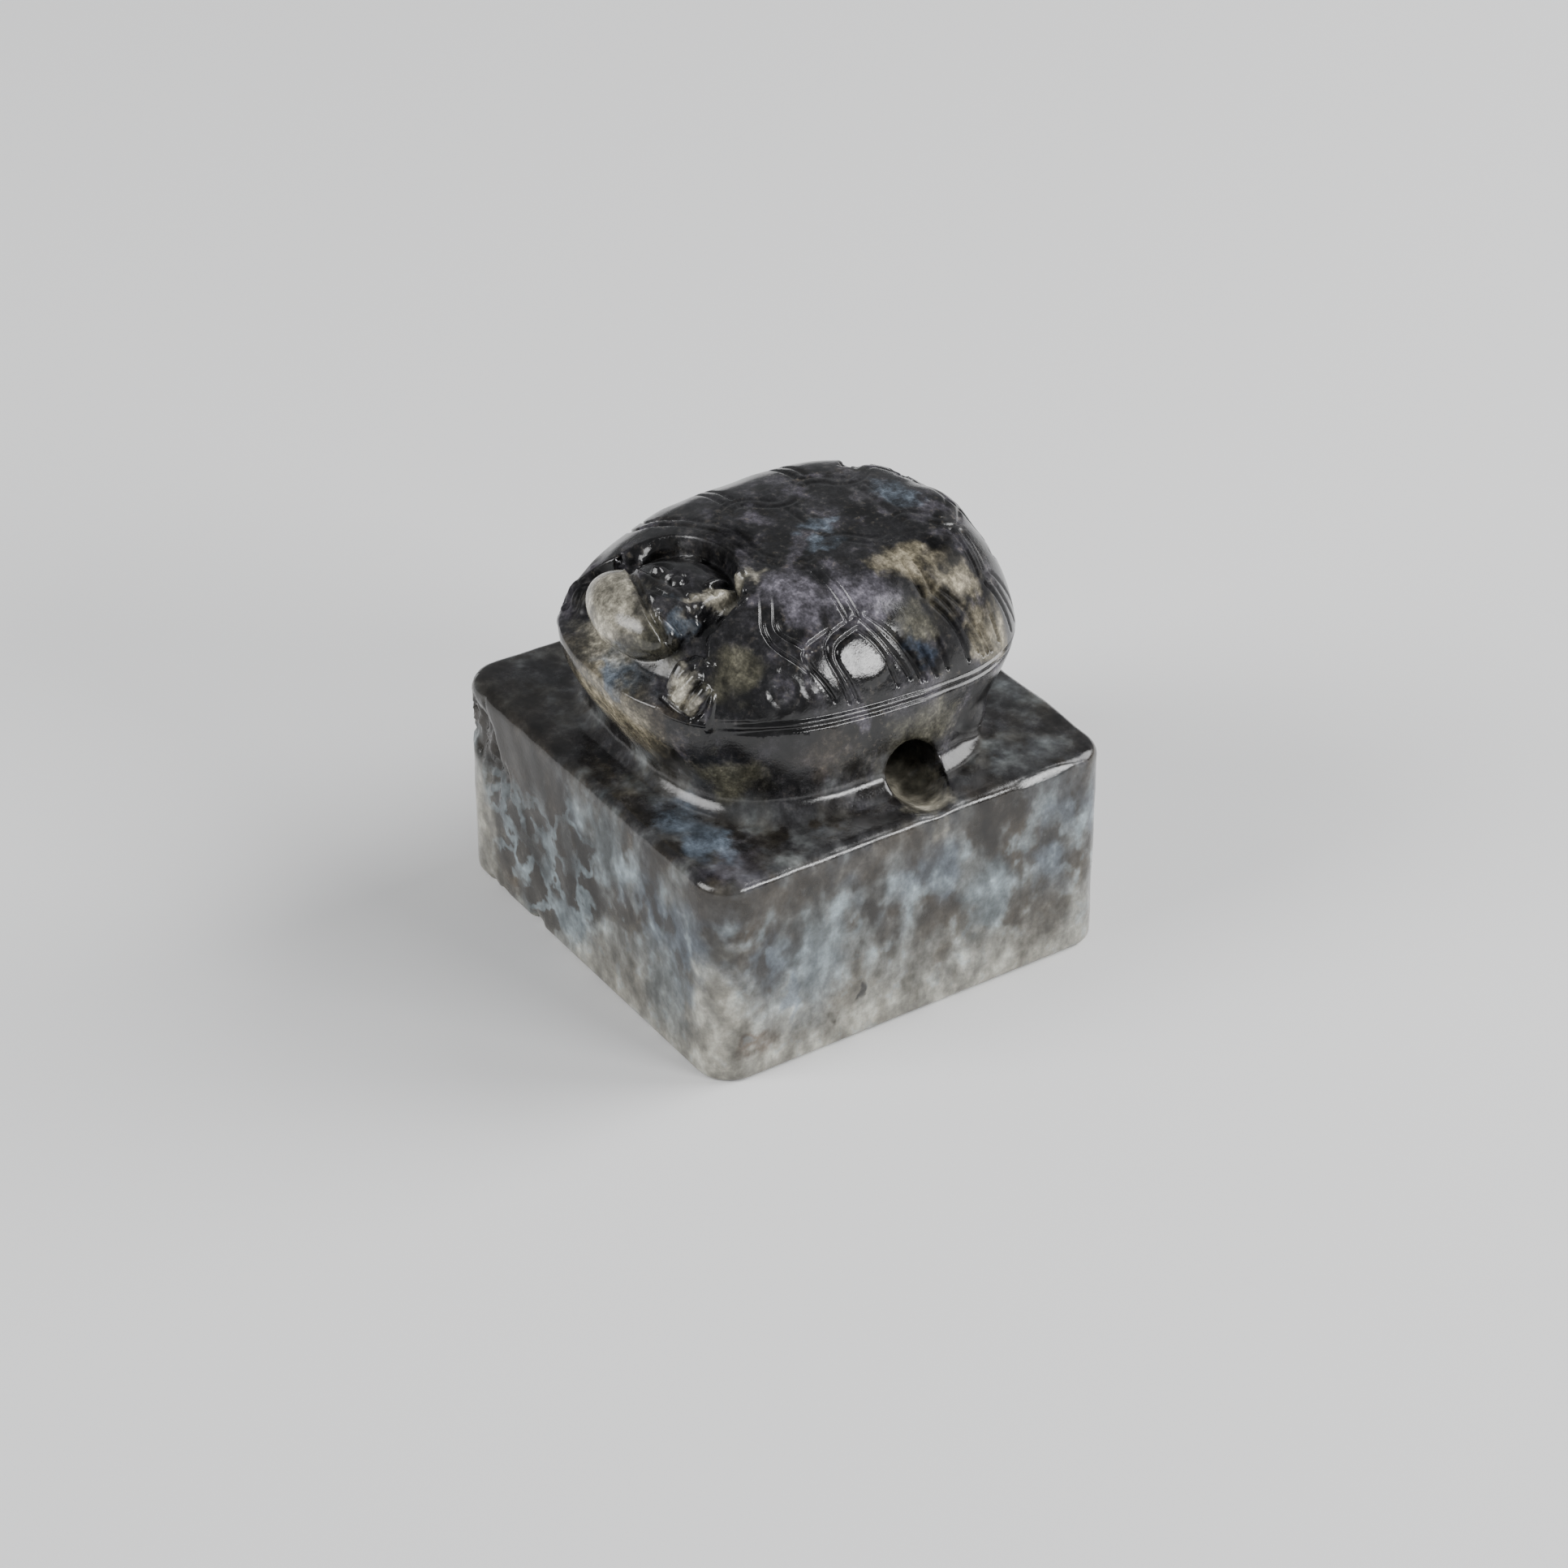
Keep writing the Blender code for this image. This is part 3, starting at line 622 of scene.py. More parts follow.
def stroke(points, entry, scale):
    """Depth of one stroke at each point, by its rounded path, in space scaled along each axis."""
    _, half_width, depth, *corners = entry
    path = rounded_path(corners, 2) * scale
    return groove(points * scale, path, half_width, 1.0) * depth


def face_and_toes(form):
    """Depth of every stroke on the head and on both front feet."""
    flat = np.array([1.0, 1.0, FACE_FLATTEN])
    head = form[:, 2] > OPENING_FADE[0]
    cut = np.zeros(len(form))
    for entry in FACE_STROKES:
        cut[head] += stroke(form[head], entry, flat)
    ring = np.abs(np.linalg.norm((form - np.array(RING_CENTRE)) * flat, axis=1) - RING_RADIUS)
    half_width, depth = RING_STROKE
    cut += depth * np.maximum(0.0, 1.0 - (ring / half_width) ** 2) * head
    for side, strength in ((-1.0, FAR_TOES), (1.0, 1.0)):
        for entry in TOE_STROKES:
            cut += stroke(form * (side, 1.0, 1.0), entry, np.ones(3)) * strength
    return cut


# Rubbed flats
# Handling has rubbed one plate on the shell's near side to a flat, and the block's top edge behind the
# trough. Both catch the light.

# Each flat: its name, centre, radii, and the way that it faces.
FLATS = (
    ("plate", (9.9, -0.5, 23.3), (1.9, 1.9, 1.9), (0.858, -0.1, 0.504)),
    ("top edge", (14.77, 9.6, 13.9), (0.8, 2.9, 0.8), (0.855, -0.047, 0.518)),
)
FLAT_STRENGTH = 0.85
FLAT_FADE = (1.0, 0.55)
FLAT_MIDDLE = 0.5


def rubbed_flats(points):
    """Points near each flat's centre move along its normal, towards the plane through their own mean."""
    points = points.copy()
    for _, centre, radii, normal in FLATS:
        normal = np.array(normal) / np.linalg.norm(normal)
        away = np.linalg.norm((points - np.array(centre)) / np.array(radii), axis=1)
        level = (points @ normal)[away < FLAT_MIDDLE].mean()
        share = FLAT_STRENGTH * smooth_step(away, *FLAT_FADE)
        points -= ((points @ normal - level) * share)[:, None] * normal
    return points


# The hand's unevenness
# Ground and polished by hand, so no surface is quite true: long low waves all over, and small dents
# where the stone is left rougher at the front of the shell.

# Each set of waves: its length, height and seed. The dents' field has a length, a count and a seed.
WAVES = ((6.0, 0.045, 11), (2.4, 0.018, 12))
DENT_CENTRE = (9.0, -7.0, 23.4)
DENT_RADIUS = 4.0
DENT_FADE = (1.0, 0.4)
DENT_DEPTH = 0.03
DENT_FIELD = (0.9, 14, 13)


def hand_waves(points):
    """Sum of low sine fields, with a finer one that fades out from the dented place."""
    total = sum(height * rough(points, length, WAVE_COUNT, seed) for length, height, seed in WAVES)
    away = np.linalg.norm(points - np.array(DENT_CENTRE), axis=1) / DENT_RADIUS
    return total + DENT_DEPTH * rough(points, *DENT_FIELD) * smooth_step(away, *DENT_FADE)


# The seal as one mesh
# All the carving is put together here, the skin is thinned where it is smooth, and the cord hole is
# drilled through under the belly.

HOLE_COLUMNS = 96
HOLE_ROWS = 60
TRIANGLE_LIMIT = 180000
FLAT_FOOT = 0.5
SHARP_ANGLE = math.radians(62)


def mesh_from_grid(name, points, faces):
    """A mesh from whole arrays of points in millimetres and faces, smooth all over."""
    mesh = bpy.data.meshes.new(name)
    mesh.from_pydata((points * MM).tolist(), [], faces)
    mesh.validate()
    mesh.shade_smooth()
    return mesh


def applied(name, mesh, kind, **settings):
    """A new mesh: the given one with one modifier applied to it."""
    holder = bpy.data.objects.new(name, mesh)
    bpy.context.scene.collection.objects.link(holder)
    modifier = holder.modifiers.new(name, kind)
    for setting, value in settings.items():
        setattr(modifier, setting, value)
    evaluated = holder.evaluated_get(bpy.context.evaluated_depsgraph_get())
    result = bpy.data.meshes.new_from_object(evaluated)
    bpy.data.objects.remove(holder, do_unlink=True)
    return result


def cord_hole():
    """The drill's way: circles along X from mouth to mouth, closed by a flat face at each end."""
    mouth_x, mouth_y, mouth_z = HOLE_MOUTH
    along = np.linspace(-mouth_x, mouth_x, HOLE_ROWS)
    turn = np.linspace(0.0, 2.0 * math.pi, HOLE_COLUMNS, endpoint=False)
    along, turn = np.meshgrid(along, turn, indexing="ij")
    y = mouth_y + HOLE_RADIUS * np.cos(turn)
    z = mouth_z + HOLE_RADIUS * np.sin(turn)
    index = np.arange(along.size).reshape(along.shape)
    faces = ring_quads(index)[:, ::-1].tolist() + [index[0, ::-1].tolist(), index[-1].tolist()]
    return mesh_from_grid("cord_hole", np.stack([along, y, z], axis=-1).reshape(-1, 3), faces)


def stone_mesh():
    """The finished stone: skin, carving, thinning and hole."""
    base, quads, face_ring, shares = stone_skin()
    form = rubbed_flats(carved_skin(base, skin_normals(base, quads)))
    cut = np.maximum(plate_lines(base), rim_lines(base, shares)) + face_and_toes(form) + hand_waves(form)
    cut[form[:, 2] < FLAT_FOOT] = 0.0
    form -= skin_normals(form, quads) * cut[:, None]
    mesh = mesh_from_grid("carved_stone", form, quads.tolist() + [face_ring[::-1].tolist()])
    triangles = 2 * len(quads) + COLUMNS
    if triangles > TRIANGLE_LIMIT:
        mesh = applied("thinned", mesh, "DECIMATE", ratio=TRIANGLE_LIMIT / triangles)
    drill = bpy.data.objects.new("cord_hole", cord_hole())
    bpy.context.scene.collection.objects.link(drill)
    mesh = applied("drilled", mesh, "BOOLEAN", operation="DIFFERENCE", solver="EXACT", object=drill)
    bpy.data.objects.remove(drill, do_unlink=True)
    mesh.shade_smooth()
    mesh.set_sharp_from_angle(angle=SHARP_ANGLE)
    return mesh


seal = bpy.data.objects.new("carved_tortoise_seal", stone_mesh())
bpy.context.scene.collection.objects.link(seal)
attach(seal, "root")
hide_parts("tortoise_seal")

# Stone colour
# Grey-green jade clouded with brown and blue-grey, running to near black over the shell, with a beige
# patch behind. All of it is worked out from the place inside the stone, so it runs through like veins.
# A few clouds are painted light instead: a painted highlight on the front toes, painted shade under the
# snout, and painted light on the floor of the cord hole and, in part, of the trough.

DEEP_COLOURS = {
    "bone": (0.310, 0.288, 0.228),
    "pale": (0.122, 0.128, 0.124),
    "cream": (0.275, 0.264, 0.222),
    "ice": (0.126, 0.153, 0.166),
    "blue": (0.075, 0.093, 0.116),
    "deep blue": (0.024, 0.033, 0.050),
    "beige": (0.205, 0.180, 0.125),
    "olive": (0.070, 0.066, 0.047),
    "grey brown": (0.048, 0.041, 0.032),
    "brown": (0.034, 0.027, 0.019),
    "rust": (0.060, 0.040, 0.026),
    "dark brown": (0.017, 0.014, 0.011),
    "purple": (0.050, 0.046, 0.056),
    "mauve": (0.105, 0.098, 0.116),
    "black": (0.0045, 0.0044, 0.0047),
    "charcoal": (0.0125, 0.0122, 0.0135),
    "dark grey": (0.032, 0.031, 0.031),
}
# Each cloud: its name, centre, radii, colour, and how strong it is.
CLOUDS = (
    ("corner skin", (-9.0, -14.0, 11.6), (7.0, 3.2, 4.2), "dark brown", 0.95),
    ("cell", (-6.4, -14.5, 5.8), (2.6, 2.0, 1.8), "dark brown", 0.9),
    ("cell", (-9.0, -14.5, 1.6), (2.6, 2.0, 1.6), "brown", 0.85),
    ("cell", (-2.0, -14.5, 8.0), (1.8, 2.0, 3.0), "dark brown", 0.9),
    ("cell", (1.6, -14.5, 5.8), (1.1, 2.0, 2.3), "dark brown", 0.85),
    ("spot by the cells", (-10.0, -14.5, 4.8), (0.9, 1.4, 0.5), "dark brown", 0.8),
    ("front streak", (5.2, -14.5, 12.4), (0.7, 1.6, 1.5), "brown", 0.85),
    ("front curl", (7.1, -14.5, 8.4), (0.8, 1.6, 1.0), "brown", 0.75),
    ("pale corner", (-13.4, -13.8, 4.4), (3.2, 3.2, 4.0), "cream", 0.85),
    ("front ice", (-1.8, -14.5, 2.8), (2.4, 1.8, 1.7), "ice", 0.8),
    ("front ice", (2.6, -14.5, 11.0), (2.6, 1.8, 3.2), "ice", 0.55),
    ("front pale", (9.6, -14.5, 4.4), (3.0, 1.8, 3.6), "ice", 0.5),
    ("front corner cream", (13.8, -13.8, 4.6), (2.0, 2.4, 5.6), "cream", 0.7),
    ("corner top", (13.4, -13.6, 12.8), (3.0, 2.2, 1.5), "brown", 0.7),
    ("rust curl", (15.0, -11.8, 2.4), (1.0, 1.5, 1.1), "rust", 0.8),
    ("inside the curl", (15.0, -12.0, 2.5), (0.7, 0.6, 0.45), "pale", 0.8),
    ("rust top", (15.0, -10.8, 12.6), (1.5, 2.2, 1.7), "brown", 0.8),
    ("purple margin", (13.0, -11.9, 14.4), (2.2, 2.4, 0.9), "purple", 0.7),
    ("blue margin", (9.0, -11.8, 14.4), (4.4, 1.7, 0.9), "blue", 0.85),
    ("dark margin", (13.6, 5.0, 14.2), (1.8, 2.6, 1.2), "charcoal", 0.85),
    ("dark by the trough", (14.8, 5.1, 12.2), (2.0, 2.3, 2.7), "dark brown", 0.9),
    ("top band", (15.2, -3.0, 12.6), (1.6, 7.0, 1.5), "grey brown", 0.6),
    ("brown side", (15.0, 9.6, 3.4), (1.4, 2.6, 2.6), "grey brown", 0.75),
    ("brown side", (15.0, 1.4, 5.0), (1.4, 1.8, 3.2), "grey brown", 0.65),
    ("pale side", (15.0, 5.4, 6.6), (1.4, 2.2, 3.0), "ice", 0.8),
    ("pale side", (15.0, -7.6, 7.0), (1.4, 2.4, 4.4), "ice", 0.55),
    ("blue side", (15.0, -9.2, 5.0), (1.2, 0.6, 2.2), "blue", 0.6),
    ("dark streak", (15.0, -2.4, 7.2), (1.0, 1.2, 2.0), "brown", 0.75),
    ("dark blob", (15.0, -3.2, 9.6), (1.0, 1.3, 1.6), "dark brown", 0.8),
    ("dark blob", (15.0, -8.8, 8.4), (1.0, 1.0, 2.0), "dark brown", 0.7),
    ("dark blob", (15.0, 7.6, 5.4), (1.0, 1.1, 2.2), "brown", 0.8),
    ("dark blob", (15.0, -12.6, 9.4), (1.0, 1.2, 1.8), "brown", 0.8),
    ("black spot", (15.0, -4.6, 3.2), (0.6, 0.45, 0.9), "charcoal", 0.85),
    ("brown spot", (15.0, -6.0, 2.0), (0.6, 0.7, 0.6), "brown", 0.75),
    # Pale floor of the trough: partly the stone's own beige-grey, partly painted light. Inside the cord
    # hole the pale colour is painted light on its floor.
    ("trough", (12.5, 1.9, 13.3), (2.3, 2.2, 1.5), "bone", 0.85),
    ("painted light inside the hole", (9.6, 2.1, 12.7), (3.6, 2.6, 1.7), "bone", 0.95),
    ("breast pale", (0.5, -13.2, 18.6), (6.2, 2.6, 3.9), "beige", 0.8),
    # Painted shade: a dark blue-grey patch on the breast, just under the overhanging snout.
    ("painted shade under the snout", (1.5, -12.6, 22.4), (2.6, 1.4, 1.1), "blue", 0.85),
    ("breast brown", (5.9, -12.3, 20.6), (0.9, 1.4, 1.8), "brown", 0.7),
    ("breast purple", (-6.4, -12.0, 19.4), (2.4, 2.6, 3.6), "purple", 0.6),
    ("flank olive", (8.5, -9.2, 17.0), (2.4, 2.4, 1.8), "olive", 0.8),
    ("flank brown", (10.6, -4.2, 18.4), (2.0, 2.6, 2.0), "brown", 0.6),
    ("flank olive", (11.0, 3.2, 18.0), (1.6, 3.0, 1.6), "olive", 0.6),
    ("flank dark", (10.0, -6.8, 20.2), (3.0, 3.6, 2.0), "black", 0.8),
    ("snout", (-1.7, -11.6, 24.6), (4.3, 2.3, 2.8), "bone", 0.98),
    ("snout side", (3.2, -11.2, 24.6), (1.9, 1.8, 1.8), "olive", 0.7),
    ("mask", (-0.4, -7.3, 26.4), (3.4, 1.9, 1.4), "black", 0.75),
    ("fold", (2.6, -9.1, 25.6), (1.9, 0.7, 0.9), "blue", 0.7),
    ("cheek", (3.1, -6.0, 26.2), (0.9, 2.7, 1.1), "bone", 0.85),
    ("olive front", (7.8, -8.4, 23.8), (1.4, 1.7, 1.8), "olive", 0.85),
    # Painted highlight: pale bone colour on the front toes stands in for the glints on their tops.
    ("toes", (6.3, -11.0, 23.0), (1.5, 1.1, 1.5), "bone", 0.85),
    ("purple plate", (6.2, -3.2, 26.5), (2.4, 2.0, 1.3), "mauve", 0.85),
    ("purple plate", (7.3, 0.6, 26.0), (2.2, 2.3, 1.5), "mauve", 0.8),
    ("beige back", (6.4, 4.4, 26.6), (1.6, 1.9, 1.2), "beige", 0.75),
    ("beige back", (8.0, 7.0, 25.3), (1.8, 2.4, 1.6), "beige", 0.65),
    ("beige back", (10.2, 8.6, 22.0), (1.8, 2.0, 2.2), "beige", 0.7),
    ("olive rear", (9.6, 3.4, 24.4), (1.3, 1.8, 1.4), "olive", 0.6),
    ("dark in beige", (7.1, 7.8, 26.1), (1.0, 1.4, 1.1), "black", 0.9),
    ("dark in beige", (8.9, 6.2, 25.0), (0.9, 0.9, 1.0), "black", 0.9),
    ("dark in beige", (9.8, 9.6, 23.6), (1.0, 1.1, 1.2), "charcoal", 0.85),
    ("dark in beige", (6.8, 11.1, 24.1), (1.2, 1.0, 1.4), "charcoal", 0.8),
    ("blue crown", (0.9, 2.1, 27.2), (1.2, 1.2, 0.9), "blue", 0.8),
    ("blue crown", (3.0, 1.4, 27.2), (0.8, 1.8, 0.9), "blue", 0.7),
    ("blue crown", (0.2, 8.6, 27.1), (2.0, 1.2, 0.9), "blue", 0.75),
    ("blue rim", (10.6, 3.0, 22.8), (1.0, 1.1, 1.2), "deep blue", 0.8),
)

CLOUD_FADE = (1.25, 0.45)
CLOUD_DETAIL = 3.0
CLOUD_DISTORTION = 0.15
DRIFT_SCALE = 0.55
DRIFT_LENGTH = 4.0
VEIL_EDGE = (0.42, 0.58)
VEIL_LIFT = 9.0
SHELL_START = (13.2, 17.5)
MARGIN_VEIL = (0.38, 0.56)
CELL_CENTRE = (-5.6, -14.5, 6.4)
CELL_RADII = (7.4, 3.0, 6.8)
CELL_OFFSET = (1.0, 0.0, 2.0)
CELL_SCALE = 0.34
CELL_WALL = (0.05, 0.17)
TONE_SWINGS = (4.8, 2.8, 1.3, 0.7)
SHELL_SWINGS = (3.0, 2.2)
STONE_IOR = 1.6
SHINE = 0.4
POLISH_CLOUD = (0.3, 0.7)
POLISH_ROUGHNESS = (0.08, 0.20)
MATTE_PLACES = (
    ((8.0, 6.8, 25.0), 5.2),
    ((10.4, 3.6, 23.2), 2.8),
    ((-0.6, -3.5, 26.6), 2.8),
    ((-6.8, -9.9, 22.8), 3.2),
)
MATTE_FADE = (1.0, 0.5)
MATTE_ROUGHNESS = 0.25
MATTE_SHINE_LOSS = 0.34
WEAR_SHARES = (0.7, 0.3)
WEAR_STRENGTH = 0.4
WEAR_DEPTH = 0.00006
MIX_COLOURS = (6, 7)
MIX_RESULT = 2

stone = bpy.data.materials.new("mottled_jade")
stone.use_nodes = True
graph = stone.node_tree
shader = graph.nodes["Principled BSDF"]


def add_node(kind, inputs=None, **settings):
    """A node of the stone's material. Each input is its socket's value, or an output joined to it."""
    node = graph.nodes.new(kind)
    for setting, value in settings.items():
        setattr(node, setting, value)
    for socket, value in (inputs or {}).items():
        if isinstance(value, bpy.types.NodeSocket):
            graph.links.new(value, node.inputs[socket])
        else:
            node.inputs[socket].default_value = value
    return node


def math_node(operation, first, second):
    """Arithmetic on two numbers."""
    return add_node("ShaderNodeMath", {0: first, 1: second}, operation=operation).outputs[0]


def vector_node(operation, inputs, output="Vector"):
    """Arithmetic on places or colours."""
    return add_node("ShaderNodeVectorMath", inputs, operation=operation).outputs[output]


def reach_from(point, centre, radii):
    """How far out a point lies from a centre: the length of the way there, each axis in its radius."""
    away = vector_node("SUBTRACT", {0: point, 1: centre})
    return vector_node("LENGTH", {0: vector_node("DIVIDE", {0: away, 1: radii})}, "Value")


def ramp(value, low, high):
    """Eased ramp of a value from 0 at low to 1 at high."""
    node = add_node("ShaderNodeMapRange", {"Value": value, "From Min": low, "From Max": high},
                    interpolation_type="SMOOTHSTEP")
    return node.outputs["Result"]


def share_of(field, low, high, strength):
    """Eased share of a field, up to the strength."""
    return math_node("MULTIPLY", ramp(field, low, high), strength)


def swings(fields, amounts):
    """Sum of the fields' swings about a half, each times its amount."""
    total = 0.0
    for field, amount in zip(fields, amounts):
        total = math_node("ADD", total, math_node("MULTIPLY", math_node("SUBTRACT", field, 0.5), amount))
    return total


def blend_colour(share, first, second):
    """The first colour passing into the second by the share, each one named or worked out before."""
    node = add_node("ShaderNodeMix", {0: share}, data_type="RGBA")
    for socket, shade in zip(MIX_COLOURS, (first, second)):
        if isinstance(shade, str):
            node.inputs[socket].default_value = (*DEEP_COLOURS[shade], 1.0)
        else:
            graph.links.new(shade, node.inputs[socket])
    return node.outputs[MIX_RESULT]


def tinted(ground, layers):
    """A ground colour with one tint after another laid over it, each by the share of its field."""
    for field, low, high, strength, tint in layers:
        ground = blend_colour(share_of(field, low, high, strength), ground, tint)
    return ground


def mapped(point, offset=(0.0, 0.0, 0.0), stretch=(1.0, 1.0, 1.0)):
    """A place stretched along each axis, then moved by the offset."""
    return add_node("ShaderNodeMapping", {"Vector": point, "Location": offset, "Scale": stretch}).outputs[0]


def noise(point, scale, detail, roughness, distortion=0.0, output="Fac"):
    """Cloudy field with features of about one over the scale, in millimetres."""
    node = add_node("ShaderNodeTexNoise", {"Vector": point, "Scale": scale, "Detail": detail,
                                           "Roughness": roughness, "Distortion": distortion})
    return node.outputs[output]


def cloudy(offset, scale, upright=1.0, roughness=0.48):
    """A cloud field of its own place in the stone, drawn out upwards where upright is under 1."""
    moved = mapped(in_millimetres, offset, (1.0, 1.0, upright))
    return noise(moved, scale, CLOUD_DETAIL, roughness, CLOUD_DISTORTION)


in_metres = add_node("ShaderNodeTexCoord").outputs["Object"]
in_millimetres = mapped(in_metres, stretch=(1.0 / MM, 1.0 / MM, 1.0 / MM))
height = add_node("ShaderNodeSeparateXYZ", {0: in_millimetres}).outputs["Z"]
swirl = noise(in_millimetres, DRIFT_SCALE, 3.0, 0.5, output="Color")
drift = vector_node("SUBTRACT", {0: swirl, 1: (0.5, 0.5, 0.5)})
drift = vector_node("SCALE", {0: drift, "Scale": DRIFT_LENGTH})
drifting = vector_node("ADD", {0: in_millimetres, 1: drift})

wide_cloud = cloudy((4.0, 1.0, 6.0), 0.20, 0.7)
veil = cloudy((0.0, 0.0, 0.0), 0.34, 0.75)
small_cloud = cloudy((7.0, 3.0, 5.0), 0.55, 0.7)
fine_cloud = cloudy((2.0, 8.0, 3.0), 1.1, 0.8, 0.5)
fleck = cloudy((5.0, 5.0, 1.0), 2.6, roughness=0.6)
grains = noise(in_millimetres, 6.5, 3.0, 0.7)
scratches = noise(in_millimetres, 2.2, 6.0, 0.65)

cells = add_node("ShaderNodeTexVoronoi", {"Vector": mapped(drifting, CELL_OFFSET), "Scale": CELL_SCALE},
                 feature="DISTANCE_TO_EDGE").outputs["Distance"]
cell_colour = blend_colour(ramp(cells, *CELL_WALL), "ice", "dark brown")
cell_reach = reach_from(drifting, CELL_CENTRE, CELL_RADII)
lift = math_node("ADD", height, swings((veil,), (VEIL_LIFT,)))
shell_share = ramp(lift, *SHELL_START)

block = tinted(blend_colour(ramp(veil, *VEIL_EDGE), "pale", "grey brown"), (
    (wide_cloud, 0.48, 0.62, 0.80, "blue"),
    (small_cloud, 0.50, 0.66, 0.75, "ice"),
    (small_cloud, 0.46, 0.34, 0.75, "brown"),
    # Cream grows towards the block's bottom, by height.
    (height, 8.0, 0.0, 0.80, "cream"),
    (fine_cloud, 0.56, 0.68, 0.40, "ice"),
    (cell_reach, 1.15, 0.75, 0.92, cell_colour),
    # Brown grows towards the block's top edge, by height blurred with the veil.
    (lift, 9.0, 13.6, 0.65, "brown"),
))
shell = tinted(blend_colour(ramp(veil, *VEIL_EDGE), "black", "charcoal"), (
    (small_cloud, 0.50, 0.64, 0.70, "purple"),
    (wide_cloud, 0.52, 0.64, 0.55, "dark grey"),
    (fine_cloud, 0.56, 0.70, 0.55, "dark grey"),
    (fleck, 0.54, 0.68, 0.50, "grey brown"),
    (fine_cloud, 0.46, 0.34, 0.55, "dark brown"),
))
margin_share = math_node("MULTIPLY", share_of(height, 13.9, 14.25, 0.65), ramp(veil, *MARGIN_VEIL))
colour = blend_colour(margin_share, blend_colour(shell_share, block, shell), "charcoal")
colour = tinted(colour, [(reach_from(drifting, centre, radii), *CLOUD_FADE, strength, tint)
                         for _, centre, radii, tint, strength in CLOUDS])

tone = swings((small_cloud, fine_cloud, fleck, grains), TONE_SWINGS)
tone = math_node("ADD", tone, math_node("MULTIPLY", swings((fleck, grains), SHELL_SWINGS), shell_share))
colour = vector_node("SCALE", {0: colour, "Scale": math_node("POWER", 2.0, tone)})

matte = 0.0
for centre, radius in MATTE_PLACES:
    away = reach_from(in_millimetres, centre, (radius, radius, radius))
    matte = math_node("MAXIMUM", ramp(away, *MATTE_FADE), matte)
low, high = POLISH_CLOUD
smooth, rubbed = POLISH_ROUGHNESS
polish = add_node("ShaderNodeMapRange", {"Value": fine_cloud, "From Min": low, "From Max": high,
                                         "To Min": smooth, "To Max": rubbed}).outputs[0]
roughness = math_node("ADD", polish, math_node("MULTIPLY", matte, MATTE_ROUGHNESS))
shine = math_node("SUBTRACT", SHINE, math_node("MULTIPLY", matte, MATTE_SHINE_LOSS))
wear = math_node("ADD", math_node("MULTIPLY", scratches, WEAR_SHARES[0]),
                 math_node("MULTIPLY", grains, WEAR_SHARES[1]))
bump = add_node("ShaderNodeBump", {"Height": wear, "Strength": WEAR_STRENGTH, "Distance": WEAR_DEPTH})

graph.links.new(colour, shader.inputs["Base Color"])
graph.links.new(roughness, shader.inputs["Roughness"])
graph.links.new(shine, shader.inputs["Specular IOR Level"])
graph.links.new(bump.outputs["Normal"], shader.inputs["Normal"])
shader.inputs["IOR"].default_value = STONE_IOR
seal.data.materials.clear()
seal.data.materials.append(stone)

# The floor, the light and the camera
# A plain pale floor, a pale room, and soft boxes. The camera stands where the photograph was taken
# from, found from the block's edges.

FLOOR_WIDTH = 1.6
FLOOR_COLOUR = (0.88, 0.88, 0.88, 1.0)
FLOOR_ROUGHNESS = 0.9
ROOM_COLOUR = (0.95, 0.97, 1.0, 1.0)
ROOM_STRENGTH = 0.3
LIGHT_AIM = (0.0, 0.0, 0.012)
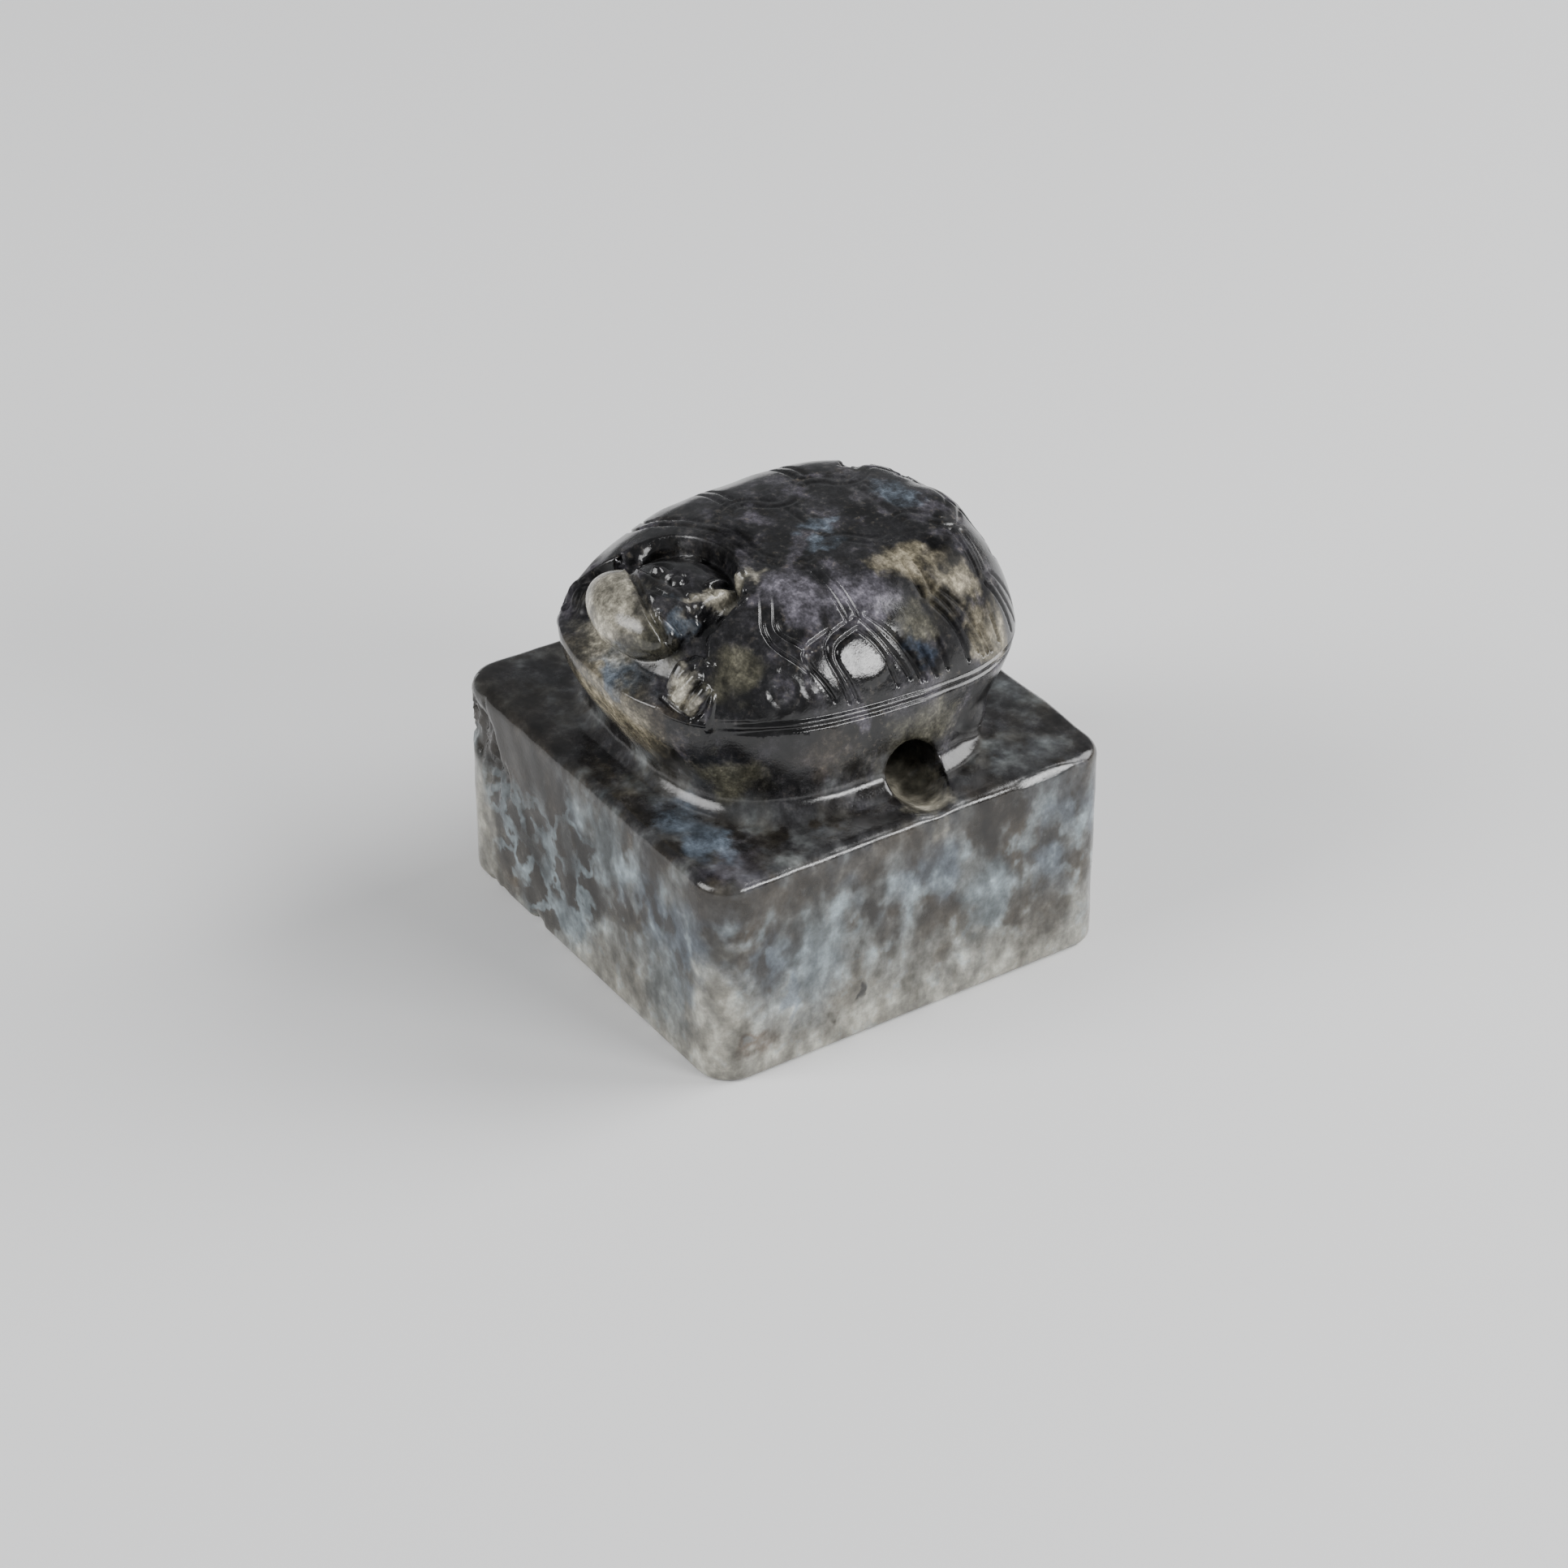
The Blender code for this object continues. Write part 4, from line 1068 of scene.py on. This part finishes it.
# Each soft box: its name, direction and distance from the stone, its two widths, and its power.
SOFT_BOXES = (
    ("key_box", (0.26, 0.80, 0.54), 0.7, (0.45, 0.45), 5.5),
    ("side_box", (0.83, 0.37, 0.37), 0.6, (0.24, 0.10), 2.2),
    ("front_fill", (-0.2, -0.85, 0.5), 0.8, (0.40, 0.40), 4.8),
)
CAMERA_AZIMUTH = math.radians(56.334)
CAMERA_ELEVATION = math.radians(33.614)
CAMERA_DISTANCE = 280.232
CAMERA_RIGHT = 0.225
CAMERA_UP = 7.150
CAMERA_LENS = 100.62
CAMERA_SENSOR = 36.0
CAMERA_CLIP = (0.01, 10.0)


def facing_back(name, data, location, outward):
    """A light or the camera at a place, turned so that it looks back against the outward direction."""
    holder = bpy.data.objects.new(name, data)
    bpy.context.scene.collection.objects.link(holder)
    holder.location = location
    holder.rotation_mode = "QUATERNION"
    holder.rotation_quaternion = Vector(outward).to_track_quat("Z", "Y")
    return holder


bpy.ops.mesh.primitive_plane_add(size=FLOOR_WIDTH)
floor = bpy.context.object
floor.name = "floor"
paper = bpy.data.materials.new("pale_paper")
paper.use_nodes = True
paper_shader = paper.node_tree.nodes["Principled BSDF"]
paper_shader.inputs["Base Color"].default_value = FLOOR_COLOUR
paper_shader.inputs["Roughness"].default_value = FLOOR_ROUGHNESS
floor.data.materials.append(paper)

room = bpy.data.worlds.new("pale_room")
room.use_nodes = True
room_light = room.node_tree.nodes["Background"]
room_light.inputs["Color"].default_value = ROOM_COLOUR
room_light.inputs["Strength"].default_value = ROOM_STRENGTH
bpy.context.scene.world = room

for name, towards, distance, size, power in SOFT_BOXES:
    lamp = bpy.data.lights.new(name, "AREA")
    lamp.shape = "RECTANGLE"
    lamp.size, lamp.size_y = size
    lamp.energy = power
    outward = np.array(towards) / np.linalg.norm(towards)
    facing_back(name, lamp, outward * distance + np.array(LIGHT_AIM), outward)

back = Vector((math.sin(CAMERA_AZIMUTH) * math.cos(CAMERA_ELEVATION),
               -math.cos(CAMERA_AZIMUTH) * math.cos(CAMERA_ELEVATION), math.sin(CAMERA_ELEVATION)))
right = Vector((math.cos(CAMERA_AZIMUTH), math.sin(CAMERA_AZIMUTH), 0.0))
camera_place = back * CAMERA_DISTANCE + right * CAMERA_RIGHT + back.cross(right) * CAMERA_UP
camera = bpy.data.cameras.new("camera")
camera.lens = CAMERA_LENS
camera.sensor_width = CAMERA_SENSOR
camera.clip_start, camera.clip_end = CAMERA_CLIP
bpy.context.scene.camera = facing_back("camera", camera, camera_place * MM, back)
